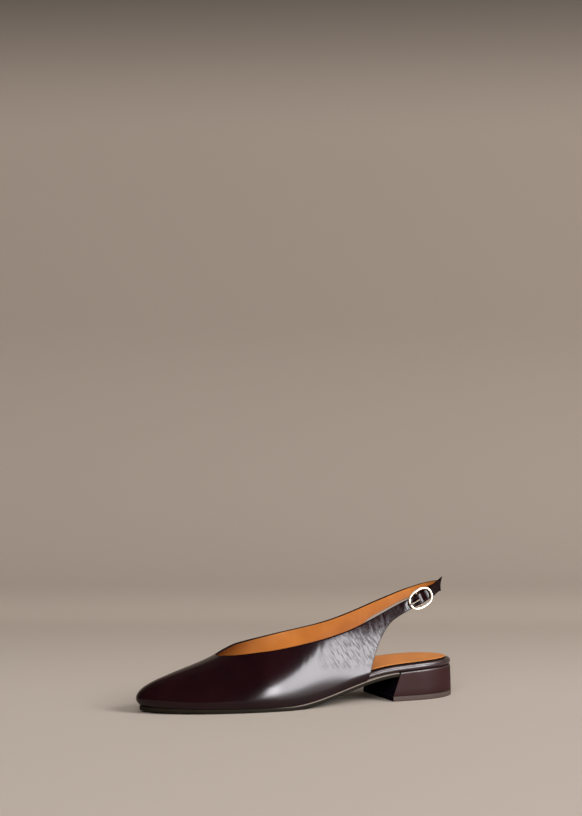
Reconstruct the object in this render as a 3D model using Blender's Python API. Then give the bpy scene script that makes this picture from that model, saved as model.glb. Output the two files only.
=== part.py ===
import math

import bmesh
import bpy
import numpy as np
from mathutils import Matrix, Vector

# Left slingback flat with a pointed toe and a low block heel, standing empty on its sole.
# The toe points to -X, the outer side with the buckle faces -Y, and the origin lies on the floor
# under the middle of the shoe. Sizes are millimetres here and become metres in each mesh.
MM = 0.001

# Driving sizes
LENGTH = 265.0
BALL_WIDTH = 71.5
INSTEP = 40.6           # throat above the floor
HEEL_HEIGHT = 24.8      # floor to the underside of the seat at the back
WALL = 1.5              # upper and lining together
GAP = 0.3               # between neighbouring pieces
AXIS_SHIFT = 2.1        # puts the widest points evenly about the long axis

# Sole. Profiles give shares of the thickness from the bottom up, and how far the edge is set in there.
SOLE_THICKNESS = 3.1
EDGE_BEVEL = 0.5
SOLE_PROFILE = ((0.0, EDGE_BEVEL), (0.18, 0.0), (0.86, 0.0), (1.0, EDGE_BEVEL / 2.0))
TOE_SPRING = 1.9
SPRING_POWER = 1.3
FLAT_START = 75.0       # the forefoot rests on the floor from here
FLAT_END = 109.0        # to here
BREAST = 205.0          # the sole levels off at the heel's front
BREAST_RISE = 0.77 * HEEL_HEIGHT
BREAST_SLOPE = 0.08
SOLE_END = 208.4

# Upper against the last
LIP = 0.6               # sole edge outside the feather line
TUCK_HEIGHT = 7.0       # the wall curves in to the feather line below this
TOE_SWING = 1.8         # toe tip towards the inner side
SWING_LENGTH = 70.0
ROWS = 8                # faces up the wall
ROW_CROWDING = 1.25     # more than 1 brings rows closer near the sole

# Insole board, sock and heel
BOARD_FRONT = 2.2
BOARD_SEAT = 5.0
BOARD_EDGE = 2.2        # depth of the half round edge at the seat
BOARD_SHARES = (0.0, 0.14, 0.5, 0.86, 1.0)
BOARD_SWELL = (140.0, 190.0)
SEAT_HALF = 27.9
SEAT_BLEND = (174.0, 188.0)
SEAT_START = 194.0      # straight sides of the seat run from here
SEAT_ROUND = 220.0      # to here, and then round the back
SEAT_END_FULLNESS = 2.3
SEAT_SIDE_FULLNESS = 2.1
SEAT_STEPS = 10
SEAT_LAST_ANGLE = math.radians(88.5)
SOCK_THICKNESS = 1.0
SOCK_INSET_FRONT = 0.5
SOCK_INSET_SEAT = 3.8
HEEL_TIP = 4.0
HEEL_FOOT_FRONT = 203.0  # at the floor
HEEL_TOP_FRONT = 210.0
HEEL_FOOT_HALF = 28.6
HEEL_LEAN = 0.6         # the back of the seat lies this far ahead of the foot of the heel
HEEL_PROFILE = ((0.0, 0.0), (0.4, 0.0), (0.94, 0.0), (1.0, EDGE_BEVEL))
TIP_PROFILE = ((0.0, EDGE_BEVEL), (0.12, 0.1), (1.0, 0.0))
TIP_STATION = 0.8       # the sole, board and sock start this far round from the toe tip
SLAB_SPANS = 6          # faces across a sole
FINE_ROWS = 12          # sections of the last with two stations each, and three from there on

# Strap and buckle
STRAP_WIDTH = 8.3
STRAP_STEP = 4.5        # longest face along a strap
LEAD_COLUMNS = 3        # quarter columns that lead into a strap
BUCKLE_AT = (231.0, -18.2, 79.4)
BUCKLE_TILT = math.radians(24.0)
BUCKLE_TURN = math.radians(4.4)
BUCKLE_LEAN = math.radians(5.0)
BUCKLE_HALF_LENGTH = 10.3
BUCKLE_HALF_HEIGHT = 7.1
BUCKLE_SQUARENESS = 2.4
BUCKLE_WIRE = 0.9       # radius
BUCKLE_LIFT = 1.3       # ring over the strap
RING_POINTS = 40
WIRE_SIDES = 8
BAR_RADIUS = 0.8
BAR_DEPTH = -2.85       # bar behind the strap
BAR_BEND = 1.9          # radius where it turns back to the ring
BAR_BEND_STEPS = 5
PRONG_RADIUS = 0.65
PRONG_TIP = -11.2
PRONG_BEND = 1.4        # radius where it turns forward over the strap
PRONG_BEND_STEPS = 5
HOOK_START = math.radians(-20.0)
HOOK_TURN = math.radians(160.0)
HOOK_STEPS = 8

# Sections of the last from the toe tip back. along and crest_along are percent of LENGTH, outer and
# inner are half widths at the sole edge in percent of BALL_WIDTH, crest is percent of INSTEP. wall is
# how far up the side stays upright, the crowns are how far the top stays level, and the swells, in
# millimetres, push the side out. tuck, in millimetres, is how far the wall is drawn in at the feather
# line. Behind the throat the crest is the foot that fills the shoe.
LAST_COLUMNS = ("along", "outer", "inner", "crest_along", "crest", "wall",
                "outer_crown", "inner_crown", "outer_swell", "inner_swell", "tuck")
LAST_SECTIONS = (
    (1.0, 0.0, 0.0, 2.9, 49.5, 0.62, 0.60, 0.60, 0.4, 0.4, 4.0),
    (1.3, 4.4, 4.4, 3.1, 50.4, 0.62, 0.60, 0.60, 0.4, 0.4, 4.0),
    (1.9, 8.0, 7.8, 3.7, 52.3, 0.61, 0.60, 0.60, 0.4, 0.4, 3.8),
    (3.4, 14.2, 13.4, 5.2, 57.0, 0.60, 0.60, 0.60, 0.3, 0.3, 3.0),
    (6.1, 21.9, 20.4, 7.6, 63.2, 0.58, 0.60, 0.60, 0.2, 0.2, 2.1),
    (9.8, 29.4, 27.1, 10.8, 70.4, 0.57, 0.60, 0.60, 0.0, 0.0, 1.5),
    (15.0, 37.6, 34.7, 15.6, 80.5, 0.56, 0.61, 0.62, 0.0, 0.0, 1.0),
    (19.6, 42.4, 39.3, 19.8, 89.2, 0.56, 0.62, 0.64, 0.0, 0.0, 0.9),
    (24.3, 46.2, 43.0, 24.3, 100.0, 0.56, 0.64, 0.71, 0.0, 0.0, 0.8),
    (28.3, 49.0, 45.6, 28.3, 112.0, 0.56, 0.64, 0.80, 0.0, 0.2, 0.7),
    (33.2, 51.5, 47.0, 33.2, 130.0, 0.52, 0.75, 0.96, 0.0, 0.5, 0.5),
    (40.0, 53.0, 46.7, 40.0, 162.0, 0.50, 0.70, 0.97, 0.0, 1.5, 0.5),
    (46.8, 51.9, 43.1, 46.8, 196.0, 0.50, 0.62, 1.04, 0.0, 3.0, 0.5),
    (54.3, 48.4, 39.4, 54.3, 230.0, 0.50, 0.53, 1.03, -0.8, 3.5, 0.5),
    (61.9, 44.5, 38.6, 61.9, 256.0, 0.48, 0.38, 0.67, -2.0, 1.8, 0.8),
    (67.9, 42.2, 40.6, 67.9, 270.0, 0.46, 0.28, 0.36, -3.8, -2.0, 1.2),
    (74.7, 40.2, 40.2, 74.7, 283.0, 0.45, 0.32, 0.29, -6.2, -4.9, 1.2),
    (82.3, 39.4, 39.4, 82.3, 296.0, 0.44, 0.30, 0.27, -7.4, -6.6, 1.2),
)
THROAT_ROW = 8
COLUMN_STEPS = (1, 1, 2, 2, 2, 2, 2, 2, 5, 3, 3, 3, 3, 3)   # columns to each of the first sections
THROAT_CROWDING = 1.7   # columns gather towards the throat
QUARTER_COLUMNS = (169.5, 174.5)    # columns ahead of the back edge

# Top edge of the upper from the throat back, in millimetres. half is its distance from the long axis.
TOPLINE_COLUMNS = ("along", "half", "outer_height", "inner_height")
TOPLINE = (
    (64.4, 0.0, 40.6, 40.6),
    (65.0, 2.4, 40.7, 40.7),
    (68.0, 7.4, 40.9, 41.0),
    (72.0, 12.2, 41.6, 41.9),
    (78.0, 17.2, 42.9, 43.6),
    (88.0, 23.2, 44.4, 45.6),
    (96.0, 26.4, 45.4, 46.7),
    (112.0, 29.2, 47.8, 49.1),
    (130.0, 29.6, 50.7, 52.2),
    (150.0, 27.4, 54.3, 55.8),
    (170.0, 24.0, 59.2, 60.5),
    (190.0, 20.6, 66.5, 67.4),
    (208.0, 18.5, 74.1, 74.6),
    (216.0, 17.6, 77.4, 77.6),
)

# Back edge of the quarters from the sole up to the straps, in millimetres.
REAR_EDGE_COLUMNS = ("along", "outer_height", "inner_height")
REAR_EDGE = (
    (179.5, 17.8, 17.8),
    (181.4, 21.4, 21.4),
    (183.2, 26.3, 26.3),
    (185.0, 31.6, 31.6),
    (187.5, 37.3, 37.3),
    (190.3, 43.4, 43.2),
    (194.0, 49.9, 49.2),
    (198.0, 55.4, 54.2),
    (202.0, 59.9, 58.2),
    (206.0, 63.2, 61.4),
    (210.0, 65.5, 63.6),
    (214.0, 67.5, 65.5),
)

# Sling from the inner quarter round the heel to the outer side, in millimetres: along, side, the heights
# of its lower and upper edge, and how far the lower edge stands out past the middle.
SLING = (
    (222.0, 18.3, 69.6, 79.6, 0.8),
    (230.0, 17.5, 73.3, 82.4, 0.6),
    (238.0, 15.9, 76.3, 84.9, 0.4),
    (246.0, 12.2, 79.2, 87.7, 0.2),
    (252.4, 6.9, 81.5, 89.8, 0.0),
    (255.4, 0.0, 82.8, 91.1, 0.0),
    (253.3, -6.8, 82.8, 91.1, 0.0),
    (248.0, -11.7, 81.9, 90.2, -0.2),
)

# Straps at the buckle, in millimetres: reach runs back along the strap from the bar, stand is out from
# its plain line, and shift is up across it. The sling turns round the bar and back on its inner side.
BILLET = ((-9.0, 0.0, 0.0), (-6.8, 0.12, 0.0), (-5.0, 0.5, 0.0), (-3.2, 1.05, 0.0), (-0.7, 1.55, 0.0),
          (1.2, 1.5, 0.0), (3.0, 1.1, 0.0), (5.0, 0.45, 0.0), (7.2, 0.1, 0.0), (9.6, 0.0, 0.0),
          (13.0, -0.1, 0.5), (17.0, -0.2, 1.3))
BILLET_END = ((20.0, -0.4, -3.2), (24.8, -0.4, 6.8))    # lower and upper corner of the tail
BILLET_HOLE = (-3.2, -0.7)  # reaches between which the prong comes out
SLING_IN = ((9.6, -2.0, 0.6), (7.2, -1.9, 0.35), (5.0, -1.5, 0.15), (3.0, -0.85, 0.05), (1.4, -0.45, 0.0))
SLING_OUT = ((1.4, -5.45, 0.0), (3.0, -5.45, 0.0), (5.0, -5.45, 0.0), (7.4, -5.5, 0.0), (9.6, -5.6, 0.0))
SLING_TURN = 2.6        # radius of the leather's face round the bar
SLING_TURN_STEPS = 8
SLOT_REACH = 3.1        # the slot for the prong is open up to here

UPPER_COLOUR = (0.030, 0.004, 0.007)
HEEL_COLOUR = (0.045, 0.012, 0.012)
TAN_COLOUR = (0.44, 0.18, 0.055)
SOLE_COLOUR = (0.10, 0.07, 0.05)
TIP_COLOUR = (0.12, 0.08, 0.065)
METAL_COLOUR = (0.86, 0.76, 0.62)
SHARP_ANGLE = math.radians(40.0)


def smooth_share(value):
    share = min(max(value, 0.0), 1.0)
    return share * share * (3.0 - 2.0 * share)


def spline(knots, rows, at):
    """Smooth curve through the rows, each at its knot."""
    slopes = np.gradient(rows, knots, axis=0)
    low = int(np.clip(np.searchsorted(knots, at) - 1, 0, len(knots) - 2))
    span = knots[low + 1] - knots[low]
    share = (at - knots[low]) / span
    rising = share * share * (3.0 - 2.0 * share)
    leave = share * (1.0 - share) ** 2
    arrive = share * share * (share - 1.0)
    return (rows[low] * (1.0 - rising) + rows[low + 1] * rising
            + span * (slopes[low] * leave + slopes[low + 1] * arrive))


def look_up(table, columns, name, along):
    rows = np.array(table)
    return float(spline(rows[:, 0], rows[:, columns.index(name)], along))


def tread(along):
    """Height of the sole's underside."""
    if along < FLAT_START:
        return TOE_SPRING * ((FLAT_START - along) / FLAT_START) ** SPRING_POWER
    if along <= FLAT_END:
        return 0.0
    span = BREAST - FLAT_END
    share = (along - FLAT_END) / span
    if share > 1.0:
        return BREAST_RISE + BREAST_SLOPE * (along - BREAST)
    return BREAST_RISE * smooth_share(share) + BREAST_SLOPE * span * share * share * (share - 1.0)


def seat(along):
    """Height of the insole board's underside."""
    if along <= BREAST:
        return tread(along) + SOLE_THICKNESS + GAP
    start = BREAST_RISE + SOLE_THICKNESS + GAP
    run = LENGTH - BREAST
    bend = (HEEL_HEIGHT - start - BREAST_SLOPE * run) / run ** 2
    return start + BREAST_SLOPE * (along - BREAST) + bend * (along - BREAST) ** 2


def swing(along):
    return TOE_SWING * max(0.0, 1.0 - along / SWING_LENGTH) ** 2


def last_table():
    """Rows from the inner side's back, round the toe, to the outer side's back, with their stations."""
    rows = np.array(LAST_SECTIONS)
    column = {name: rows[:, index] for index, name in enumerate(LAST_COLUMNS)}
    along = column["along"] * LENGTH / 100.0
    outer = column["outer"] * BALL_WIDTH / 100.0
    inner = column["inner"] * BALL_WIDTH / 100.0
    crest_along = column["crest_along"] * LENGTH / 100.0
    crest = column["crest"] * INSTEP / 100.0
    slope = np.gradient(crest, crest_along)
    shared = (crest_along, crest, slope, column["wall"], column["tuck"])
    outer_rows = np.column_stack((along, -outer) + shared + (column["outer_crown"], column["outer_swell"]))
    inner_rows = np.column_stack((along, inner) + shared + (column["inner_crown"], column["inner_swell"]))
    steps = np.hypot(np.diff(along), np.diff(outer))
    stations = np.concatenate(([0.0], np.cumsum(steps)))
    knots = np.concatenate((-stations[:0:-1], stations))
    return stations, knots, np.vstack((inner_rows[:0:-1], outer_rows))


STATIONS, KNOTS, LAST_ROWS = last_table()


def plan(station):
    """Sole edge at a station round the toe, in millimetres. Stations below 0 are on the inner side."""
    along, half = spline(KNOTS, LAST_ROWS[:, :2], station)
    return np.array((along, half + swing(along)))


def outward(station):
    step = 0.05
    run = plan(station + step) - plan(station - step)
    run /= np.linalg.norm(run)
    return np.array((run[1], -run[0]))


def outline(station, inset):
    return plan(station) - inset * outward(station)


def station_at(along):
    samples = np.linspace(0.0, STATIONS[-1], 1200)
    reached = [plan(value)[0] for value in samples]
    return float(np.interp(along, reached, samples))


def section(station, shares):
    """Points of the last's section from the feather line, share 0, to the crest, share 1."""
    along, half, crest_along, crest, slope, wall, tuck, crown, swell = spline(KNOTS, LAST_ROWS, station)
    out = outward(station)
    base = outline(station, LIP - tuck)
    edge = tread(along) + SOLE_THICKNESS + GAP
    top = np.array((crest_along, swing(crest_along)))
    toward = base - top
    reach = np.linalg.norm(toward)
    toward /= reach
    foot = np.array((*base, edge))
    crown_end = np.array((*top, crest))
    wall_end = foot + np.array((*(out * swell), wall * (crest - edge)))
    level_end = crown_end + crown * reach * np.array((*toward, slope * toward[0]))
    share = np.asarray(shares)[:, None]
    rest = 1.0 - share
    points = (foot * rest ** 3 + 3.0 * wall_end * rest ** 2 * share
              + 3.0 * level_end * rest * share ** 2 + crown_end * share ** 3)
    low = np.clip(1.0 - (points[:, 2] - edge) / TUCK_HEIGHT, 0.0, 1.0)
    points[:, :2] -= np.outer(tuck * low ** 2, out)
    return points


def top_share(station):
    """Share of the section at which the top edge cuts it."""
    if abs(station) <= STATIONS[THROAT_ROW]:
        return 1.0
    along = plan(station)[0]
    inner = station < 0.0
    half = look_up(TOPLINE, TOPLINE_COLUMNS, "half", along)
    height = look_up(TOPLINE, TOPLINE_COLUMNS, "inner_height" if inner else "outer_height", along)
    side = half if inner else -half
    shares = np.linspace(0.2, 1.0, 2001)
    points = section(station, shares)
    return float(shares[np.argmin((points[:, 1] - side) ** 2 + (points[:, 2] - height) ** 2)])


def low_share(station):
    """Share of the section at which the quarter's back edge cuts it."""
    along = plan(station)[0]
    if along <= REAR_EDGE[0][0]:
        return 0.0
    side = "inner_height" if station < 0.0 else "outer_height"
    height = look_up(REAR_EDGE, REAR_EDGE_COLUMNS, side, along)
    shares = np.linspace(0.0, 1.0, 2001)
    return float(np.interp(height, section(station, shares)[:, 2], shares))


def upper_stations():
    """Stations of the columns on one side, from the toe tip to the start of the strap."""
    stations = [0.0]
    for row, steps in enumerate(COLUMN_STEPS):
        crowding = THROAT_CROWDING if row == THROAT_ROW else 1.0
        for step in range(1, steps + 1):
            share = (step / steps) ** crowding
            stations.append(STATIONS[row] + share * (STATIONS[row + 1] - STATIONS[row]))
    quarter = QUARTER_COLUMNS + tuple(row[0] for row in REAR_EDGE)
    return stations + [station_at(along) for along in quarter]


def wall_column(station):
    low, top = low_share(station), top_share(station)
    rise = np.linspace(0.0, 1.0, ROWS + 1) ** ROW_CROWDING
    return section(station, low + (top - low) * rise)


def buckle_matrix():
    """Frame of the buckle: x back along the strap, y in towards the foot, z up across the strap."""
    turn = Matrix.Rotation(BUCKLE_TURN, 4, "Z") @ Matrix.Rotation(-BUCKLE_TILT, 4, "Y")
    return Matrix.Translation(Vector(BUCKLE_AT)) @ turn @ Matrix.Rotation(-BUCKLE_LEAN, 4, "X")


def buckle_point(reach, stand, across):
    return np.array(buckle_matrix() @ Vector((reach, -stand, across)))


def strap_pair(reach, stand, shift):
    half = STRAP_WIDTH / 2.0
    lower, upper = (buckle_point(reach, stand, shift + side) for side in (-half, half))
    return np.concatenate((lower, upper))


def sling_turn():
    """Reach, stand and shift of the strap's face round the bar."""
    rows = []
    for step in range(SLING_TURN_STEPS + 1):
        angle = math.pi * step / SLING_TURN_STEPS
        rows.append((-SLING_TURN * math.sin(angle), BAR_DEPTH + SLING_TURN * math.cos(angle), 0.0))
    return rows


def strap_run(pairs):
    """Columns and their row numbers along a strap, on a smooth curve through its pairs of edge points."""
    rows = np.array(pairs)
    middles = (rows[:, :3] + rows[:, 3:]) / 2.0
    knots = np.concatenate(([0.0], np.cumsum(np.linalg.norm(np.diff(middles, axis=0), axis=1))))
    columns, numbers = [], []
    for row in range(LEAD_COLUMNS - 1, len(rows) - 1):
        steps = max(1, round((knots[row + 1] - knots[row]) / STRAP_STEP))
        for step in range(1, steps + 1):
            share = step / steps
            pair = spline(knots, rows, knots[row] + share * (knots[row + 1] - knots[row]))
            columns.append(np.linspace(pair[:3], pair[3:], ROWS + 1))
            numbers.append(row + share)
    return columns, numbers


def lead_in(columns):
    return [np.concatenate((column[0], column[-1])) for column in columns[-LEAD_COLUMNS:]]


def billet_columns(wall):
    """The outer quarter's strap to its tail, with the columns on either side of the prong's hole."""
    pairs = lead_in(wall) + [strap_pair(*row) for row in BILLET]
    pairs.append(np.concatenate([buckle_point(*corner) for corner in BILLET_END]))
    columns, numbers = strap_run(pairs)
    reaches = [row[0] for row in BILLET]
    holes = [LEAD_COLUMNS + reaches.index(reach) for reach in BILLET_HOLE]
    return columns, [number in holes for number in numbers]


def sling_columns(wall):
    """The inner quarter's strap round the heel and the bar, with the columns of the prong's slot."""
    pairs = lead_in(wall)
    for along, side, lower, upper, lean in SLING:
        pairs.append(np.array((along, side + lean, lower, along, side - lean, upper)))
    buckled = list(SLING_IN) + sling_turn() + list(SLING_OUT)
    first = len(pairs)
    pairs += [strap_pair(*row) for row in buckled]
    columns, numbers = strap_run(pairs)
    slotted = [first + index for index, row in enumerate(buckled) if row[0] < SLOT_REACH]
    return columns, [number in slotted for number in numbers]


def place(point):
    along, side, height = point
    return Vector(((along - LENGTH / 2.0) * MM, (side + AXIS_SHIFT) * MM, height * MM))


def material(name, colour, roughness, metallic=0.0):
    finish = bpy.data.materials.new(name)
    finish.use_nodes = True
    shader = finish.node_tree.nodes["Principled BSDF"]
    shader.inputs["Base Color"].default_value = (*colour, 1.0)
    shader.inputs["Roughness"].default_value = roughness
    shader.inputs["Metallic"].default_value = metallic
    finish.diffuse_color = (*colour, 1.0)
    return finish


def add_object(name, mesh_data, finish):
    mesh = bpy.data.meshes.new(name)
    mesh_data.to_mesh(mesh)
    mesh_data.free()
    mesh.materials.append(finish)
    mesh.shade_smooth()
    mesh.set_sharp_from_angle(angle=SHARP_ANGLE)
    piece = bpy.data.objects.new(name, mesh)
    bpy.context.scene.collection.objects.link(piece)
    return piece


def make_upper(finish):
    stations = upper_stations()
    outer_wall = [wall_column(station) for station in stations]
    inner_wall = [wall_column(-station) for station in stations]
    billet, billet_open = billet_columns(outer_wall)
    sling, sling_open = sling_columns(inner_wall)
    columns = (inner_wall + sling)[::-1] + outer_wall[1:] + billet
    openings = ([False] * len(inner_wall) + sling_open)[::-1] + [False] * (len(outer_wall) - 1) + billet_open
    middle = (ROWS // 2 - 1, ROWS // 2)
    sheet = bmesh.new()
    grid = [[sheet.verts.new(place(point)) for point in column] for column in columns]
    for number in range(len(grid) - 1):
        here, after = grid[number], grid[number + 1]
        pierced = openings[number] and openings[number + 1]
        for row in range(ROWS):
            if not (pierced and row in middle):
                sheet.faces.new((here[row], after[row], after[row + 1], here[row + 1]))
    bmesh.ops.remove_doubles(sheet, verts=sheet.verts, dist=1e-6)
    bmesh.ops.delete(sheet, geom=[vert for vert in sheet.verts if not vert.link_faces], context="VERTS")
    upper = add_object("upper", sheet, finish)
    skin = upper.modifiers.new("wall", "SOLIDIFY")
    skin.thickness = WALL * MM
    skin.offset = -1.0
    skin.use_even_offset = True
    skin.use_quality_normals = True


def make_loft(name, rings, finish):
    solid = bmesh.new()
    grid = [[solid.verts.new(place(point)) for point in ring] for ring in rings]
    count = len(grid[0])
    for here, after in zip(grid, grid[1:]):
        for index in range(count):
            following = (index + 1) % count
            solid.faces.new((here[index], here[following], after[following], after[index]))
    caps = [solid.faces.new(grid[0]), solid.faces.new(grid[-1])]
    bmesh.ops.triangulate(solid, faces=caps)
    bmesh.ops.recalc_face_normals(solid, faces=solid.faces)
    return add_object(name, solid, finish)


def slab_ring(levels, shares, stop, bottom, thickness):
    """Closed ring across a slab. Each level holds its outer and inner plan points, from the bottom up."""
    def point(spot, share):
        return np.array((*spot, bottom(spot[0]) + share * thickness(spot[0])))

    ends = [(outer[stop], inner[stop]) for outer, inner in levels]
    across = np.linspace(0.0, 1.0, SLAB_SPANS + 1)
    ring = [point(ends[0][0] + (ends[0][1] - ends[0][0]) * step, shares[0]) for step in across]
    ring += [point(inner, share) for (outer, inner), share in zip(ends[1:-1], shares[1:-1])]
    ring += [point(ends[-1][1] + (ends[-1][0] - ends[-1][1]) * step, shares[-1]) for step in across]
    ring += [point(outer, share) for (outer, inner), share in zip(ends[-2:0:-1], shares[-2:0:-1])]
    return ring


def make_slab(name, levels, shares, bottom, thickness, finish):
    stops = range(len(levels[0][0]))
    make_loft(name, [slab_ring(levels, shares, stop, bottom, thickness) for stop in stops], finish)


def slab_stations(last_along):
    """Stations along a sole, from just behind the toe tip."""
    stations = [TIP_STATION]
    for row in range(len(STATIONS) - 1):
        steps = 2 if row < FINE_ROWS else 3
        for step in range(1, steps + 1):
            stations.append(STATIONS[row] + step / steps * (STATIONS[row + 1] - STATIONS[row]))
    end = station_at(last_along)
    return [station for station in stations if station < end - 1.0] + [end]


def sole_level(inset):
    stations = slab_stations(SOLE_END)
    outer = [outline(station, inset) for station in stations]
    inner = [outline(-station, inset) for station in stations]
    return outer, inner


def make_outsole(finish):
    shares = [share for share, inset in SOLE_PROFILE]
    levels = [sole_level(inset) for share, inset in SOLE_PROFILE]
    make_slab("outsole", levels, shares, tread, lambda along: SOLE_THICKNESS, finish)


def seat_half(inset, front, half, back):
    """Half plan of the seat or the heel from its front, along its side and round the back."""
    points = [(along, half - inset) for along in np.linspace(front, SEAT_ROUND, 4)]
    for step in range(1, SEAT_STEPS + 1):
        angle = SEAT_LAST_ANGLE * step / SEAT_STEPS
        along = SEAT_ROUND + (back - inset - SEAT_ROUND) * math.sin(angle) ** (2.0 / SEAT_END_FULLNESS)
        points.append((along, (half - inset) * math.cos(angle) ** (2.0 / SEAT_SIDE_FULLNESS)))
    return points


def board_half(station, inset):
    """Plan of the insole board on one side, ahead of the seat."""
    along, side = outline(station, LIP + WALL + GAP + inset)
    blend = smooth_share((along - SEAT_BLEND[0]) / (SEAT_BLEND[1] - SEAT_BLEND[0]))
    seat_side = math.copysign(SEAT_HALF - inset, side)
    return np.array((along, side + (seat_side - side) * blend))


def board_level(inset):
    """Outer and inner plan of the board or sock, where inset gives the distance from its edge."""
    outer, inner = [], []
    for station in slab_stations(SEAT_BLEND[1]):
        along = plan(station)[0]
        outer.append(board_half(station, inset(along)))
        inner.append(board_half(-station, inset(along)))
    for along, half in seat_half(inset(LENGTH), SEAT_START, SEAT_HALF, LENGTH - HEEL_LEAN):
        outer.append(np.array((along, -half)))
        inner.append(np.array((along, half)))
    return outer, inner


def seat_share(along):
    """0 along the forefoot, rising to 1 at the seat."""
    return smooth_share((along - BOARD_SWELL[0]) / (BOARD_SWELL[1] - BOARD_SWELL[0]))


def board_thickness(along):
    return BOARD_FRONT + (BOARD_SEAT - BOARD_FRONT) * seat_share(along)


def make_insole_board(finish):
    def round_edge(share):
        depth = 1.0 - math.sqrt(max(0.0, 1.0 - (2.0 * share - 1.0) ** 2))
        return lambda along: depth * BOARD_EDGE * board_thickness(along) / BOARD_SEAT

    levels = [board_level(round_edge(share)) for share in BOARD_SHARES]
    make_slab("insole_board", levels, BOARD_SHARES, seat, board_thickness, finish)


def make_insole_sock(finish):
    def inset(along):
        return SOCK_INSET_FRONT + (SOCK_INSET_SEAT - SOCK_INSET_FRONT) * seat_share(along)

    def bottom(along):
        return seat(along) + board_thickness(along) + GAP

    levels = [board_level(inset), board_level(inset)]
    make_slab("insole_sock", levels, (0.0, 1.0), bottom, lambda along: SOCK_THICKNESS, finish)


def heel_level(share, inset):
    """Plan of the heel at a share of its height, from its foot to the seat."""
    front = HEEL_FOOT_FRONT + (HEEL_TOP_FRONT - HEEL_FOOT_FRONT) * share + inset
    half = HEEL_FOOT_HALF + (SEAT_HALF - HEEL_FOOT_HALF) * share
    points = seat_half(inset, front, half, LENGTH - HEEL_LEAN * share)
    return [np.array((along, -side)) for along, side in points], [np.array(point) for point in points]


def make_heel_block(finish):
    foot = HEEL_TIP + GAP
    shares = [share for share, inset in HEEL_PROFILE]
    levels = [heel_level(share, inset) for share, inset in HEEL_PROFILE]

    def height(along):
        return seat(along) - GAP - foot

    make_slab("heel_block", levels, shares, lambda along: foot, height, finish)


def make_heel_tip(finish):
    shares = [share for share, inset in TIP_PROFILE]
    levels = [heel_level(0.0, inset) for share, inset in TIP_PROFILE]
    make_slab("heel_tip", levels, shares, lambda along: 0.0, lambda along: HEEL_TIP, finish)


def make_wire(name, route, radius, normal, closed, finish):
    """A round wire along a route in the frame of the buckle, where normal is never along the route."""
    points = [Vector(point) for point in route]
    last = len(points) - 1
    turns = [2.0 * math.pi * step / WIRE_SIDES for step in range(WIRE_SIDES)]
    wire = bmesh.new()
    rings = []
    for index, point in enumerate(points):
        before = points[index - 1] if closed or index > 0 else point
        after = points[(index + 1) % len(points)] if closed or index < last else point
        run = (after - before).normalized()
        side = run.cross(normal).normalized()
        rise = run.cross(side)
        ring = [(point + radius * (math.cos(turn) * side + math.sin(turn) * rise)) * MM for turn in turns]
        rings.append([wire.verts.new(corner) for corner in ring])
    pairs = list(zip(rings, rings[1:]))
    if closed:
        pairs.append((rings[-1], rings[0]))
    else:
        wire.faces.new(rings[0])
        wire.faces.new(rings[-1])
    for here, after in pairs:
        for index in range(WIRE_SIDES):
            following = (index + 1) % WIRE_SIDES
            wire.faces.new((here[index], here[following], after[following], after[index]))
    bmesh.ops.recalc_face_normals(wire, faces=wire.faces)
    return add_object(name, wire, finish)


def ring_route():
    """Flat oval of the buckle, over the strap."""
    power = 2.0 / BUCKLE_SQUARENESS
    route = []
    for step in range(RING_POINTS):
        angle = 2.0 * math.pi * step / RING_POINTS
        reach = math.copysign(abs(math.cos(angle)) ** power, math.cos(angle)) * BUCKLE_HALF_LENGTH
        across = math.copysign(abs(math.sin(angle)) ** power, math.sin(angle)) * BUCKLE_HALF_HEIGHT
        route.append((reach, -BUCKLE_LIFT, across))
    return route


def bar_route():
    """From the ring back behind the strap, across, and forward to the ring's other side."""
    half = [(BUCKLE_LIFT, BUCKLE_HALF_HEIGHT)]
    for step in range(BAR_BEND_STEPS + 1):
        angle = math.pi / 2.0 * step / BAR_BEND_STEPS
        half.append((BAR_DEPTH + BAR_BEND * (1.0 - math.sin(angle)),
                     BUCKLE_HALF_HEIGHT - BAR_BEND * (1.0 - math.cos(angle))))
    return [(0.0, -stand, across) for stand, across in half] + [(0.0, -stand, -across) for stand, across in half[::-1]]


def prong_route():
    """From a hook round the bar, out through the strap's hole and forward onto the ring."""
    hook = BAR_RADIUS + GAP + PRONG_RADIUS
    over = BUCKLE_LIFT + BUCKLE_WIRE + GAP + PRONG_RADIUS
    route = []
    for step in range(HOOK_STEPS + 1):
        angle = HOOK_START - HOOK_TURN * step / HOOK_STEPS
        route.append((hook * math.cos(angle), BAR_DEPTH + hook * math.sin(angle)))
    for step in range(PRONG_BEND_STEPS + 1):
        angle = math.pi / 2.0 * step / PRONG_BEND_STEPS
        forward = PRONG_BEND * (1.0 - math.cos(angle))
        below = PRONG_BEND * (1.0 - math.sin(angle))
        route.append((-hook - forward, over - below))
    route.append((PRONG_TIP, over))
    return [(reach, -stand, 0.0) for reach, stand in route]


def make_bar(finish):
    """Bar across the ring, which the ring's union takes in."""
    bar = make_wire("buckle_bar", bar_route(), BAR_RADIUS, Vector((1.0, 0.0, 0.0)), False, finish)
    bar.hide_render = True
    bar.display_type = "WIRE"
    return bar


def make_buckle(finish):
    holder = bpy.data.objects.new("buckle_seat", None)
    bpy.context.scene.collection.objects.link(holder)
    frame = buckle_matrix()
    frame.translation = place(BUCKLE_AT)
    holder.matrix_world = frame
    ring = make_wire("buckle_frame", ring_route(), BUCKLE_WIRE, Vector((0.0, 1.0, 0.0)), True, finish)
    prong = make_wire("buckle_prong", prong_route(), PRONG_RADIUS, Vector((0.0, 0.0, 1.0)), False, finish)
    bar = make_bar(finish)
    for piece in (ring, prong, bar):
        piece.parent = holder
    join = ring.modifiers.new("bar", "BOOLEAN")
    join.operation = "UNION"
    join.solver = "EXACT"
    join.object = bar


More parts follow.
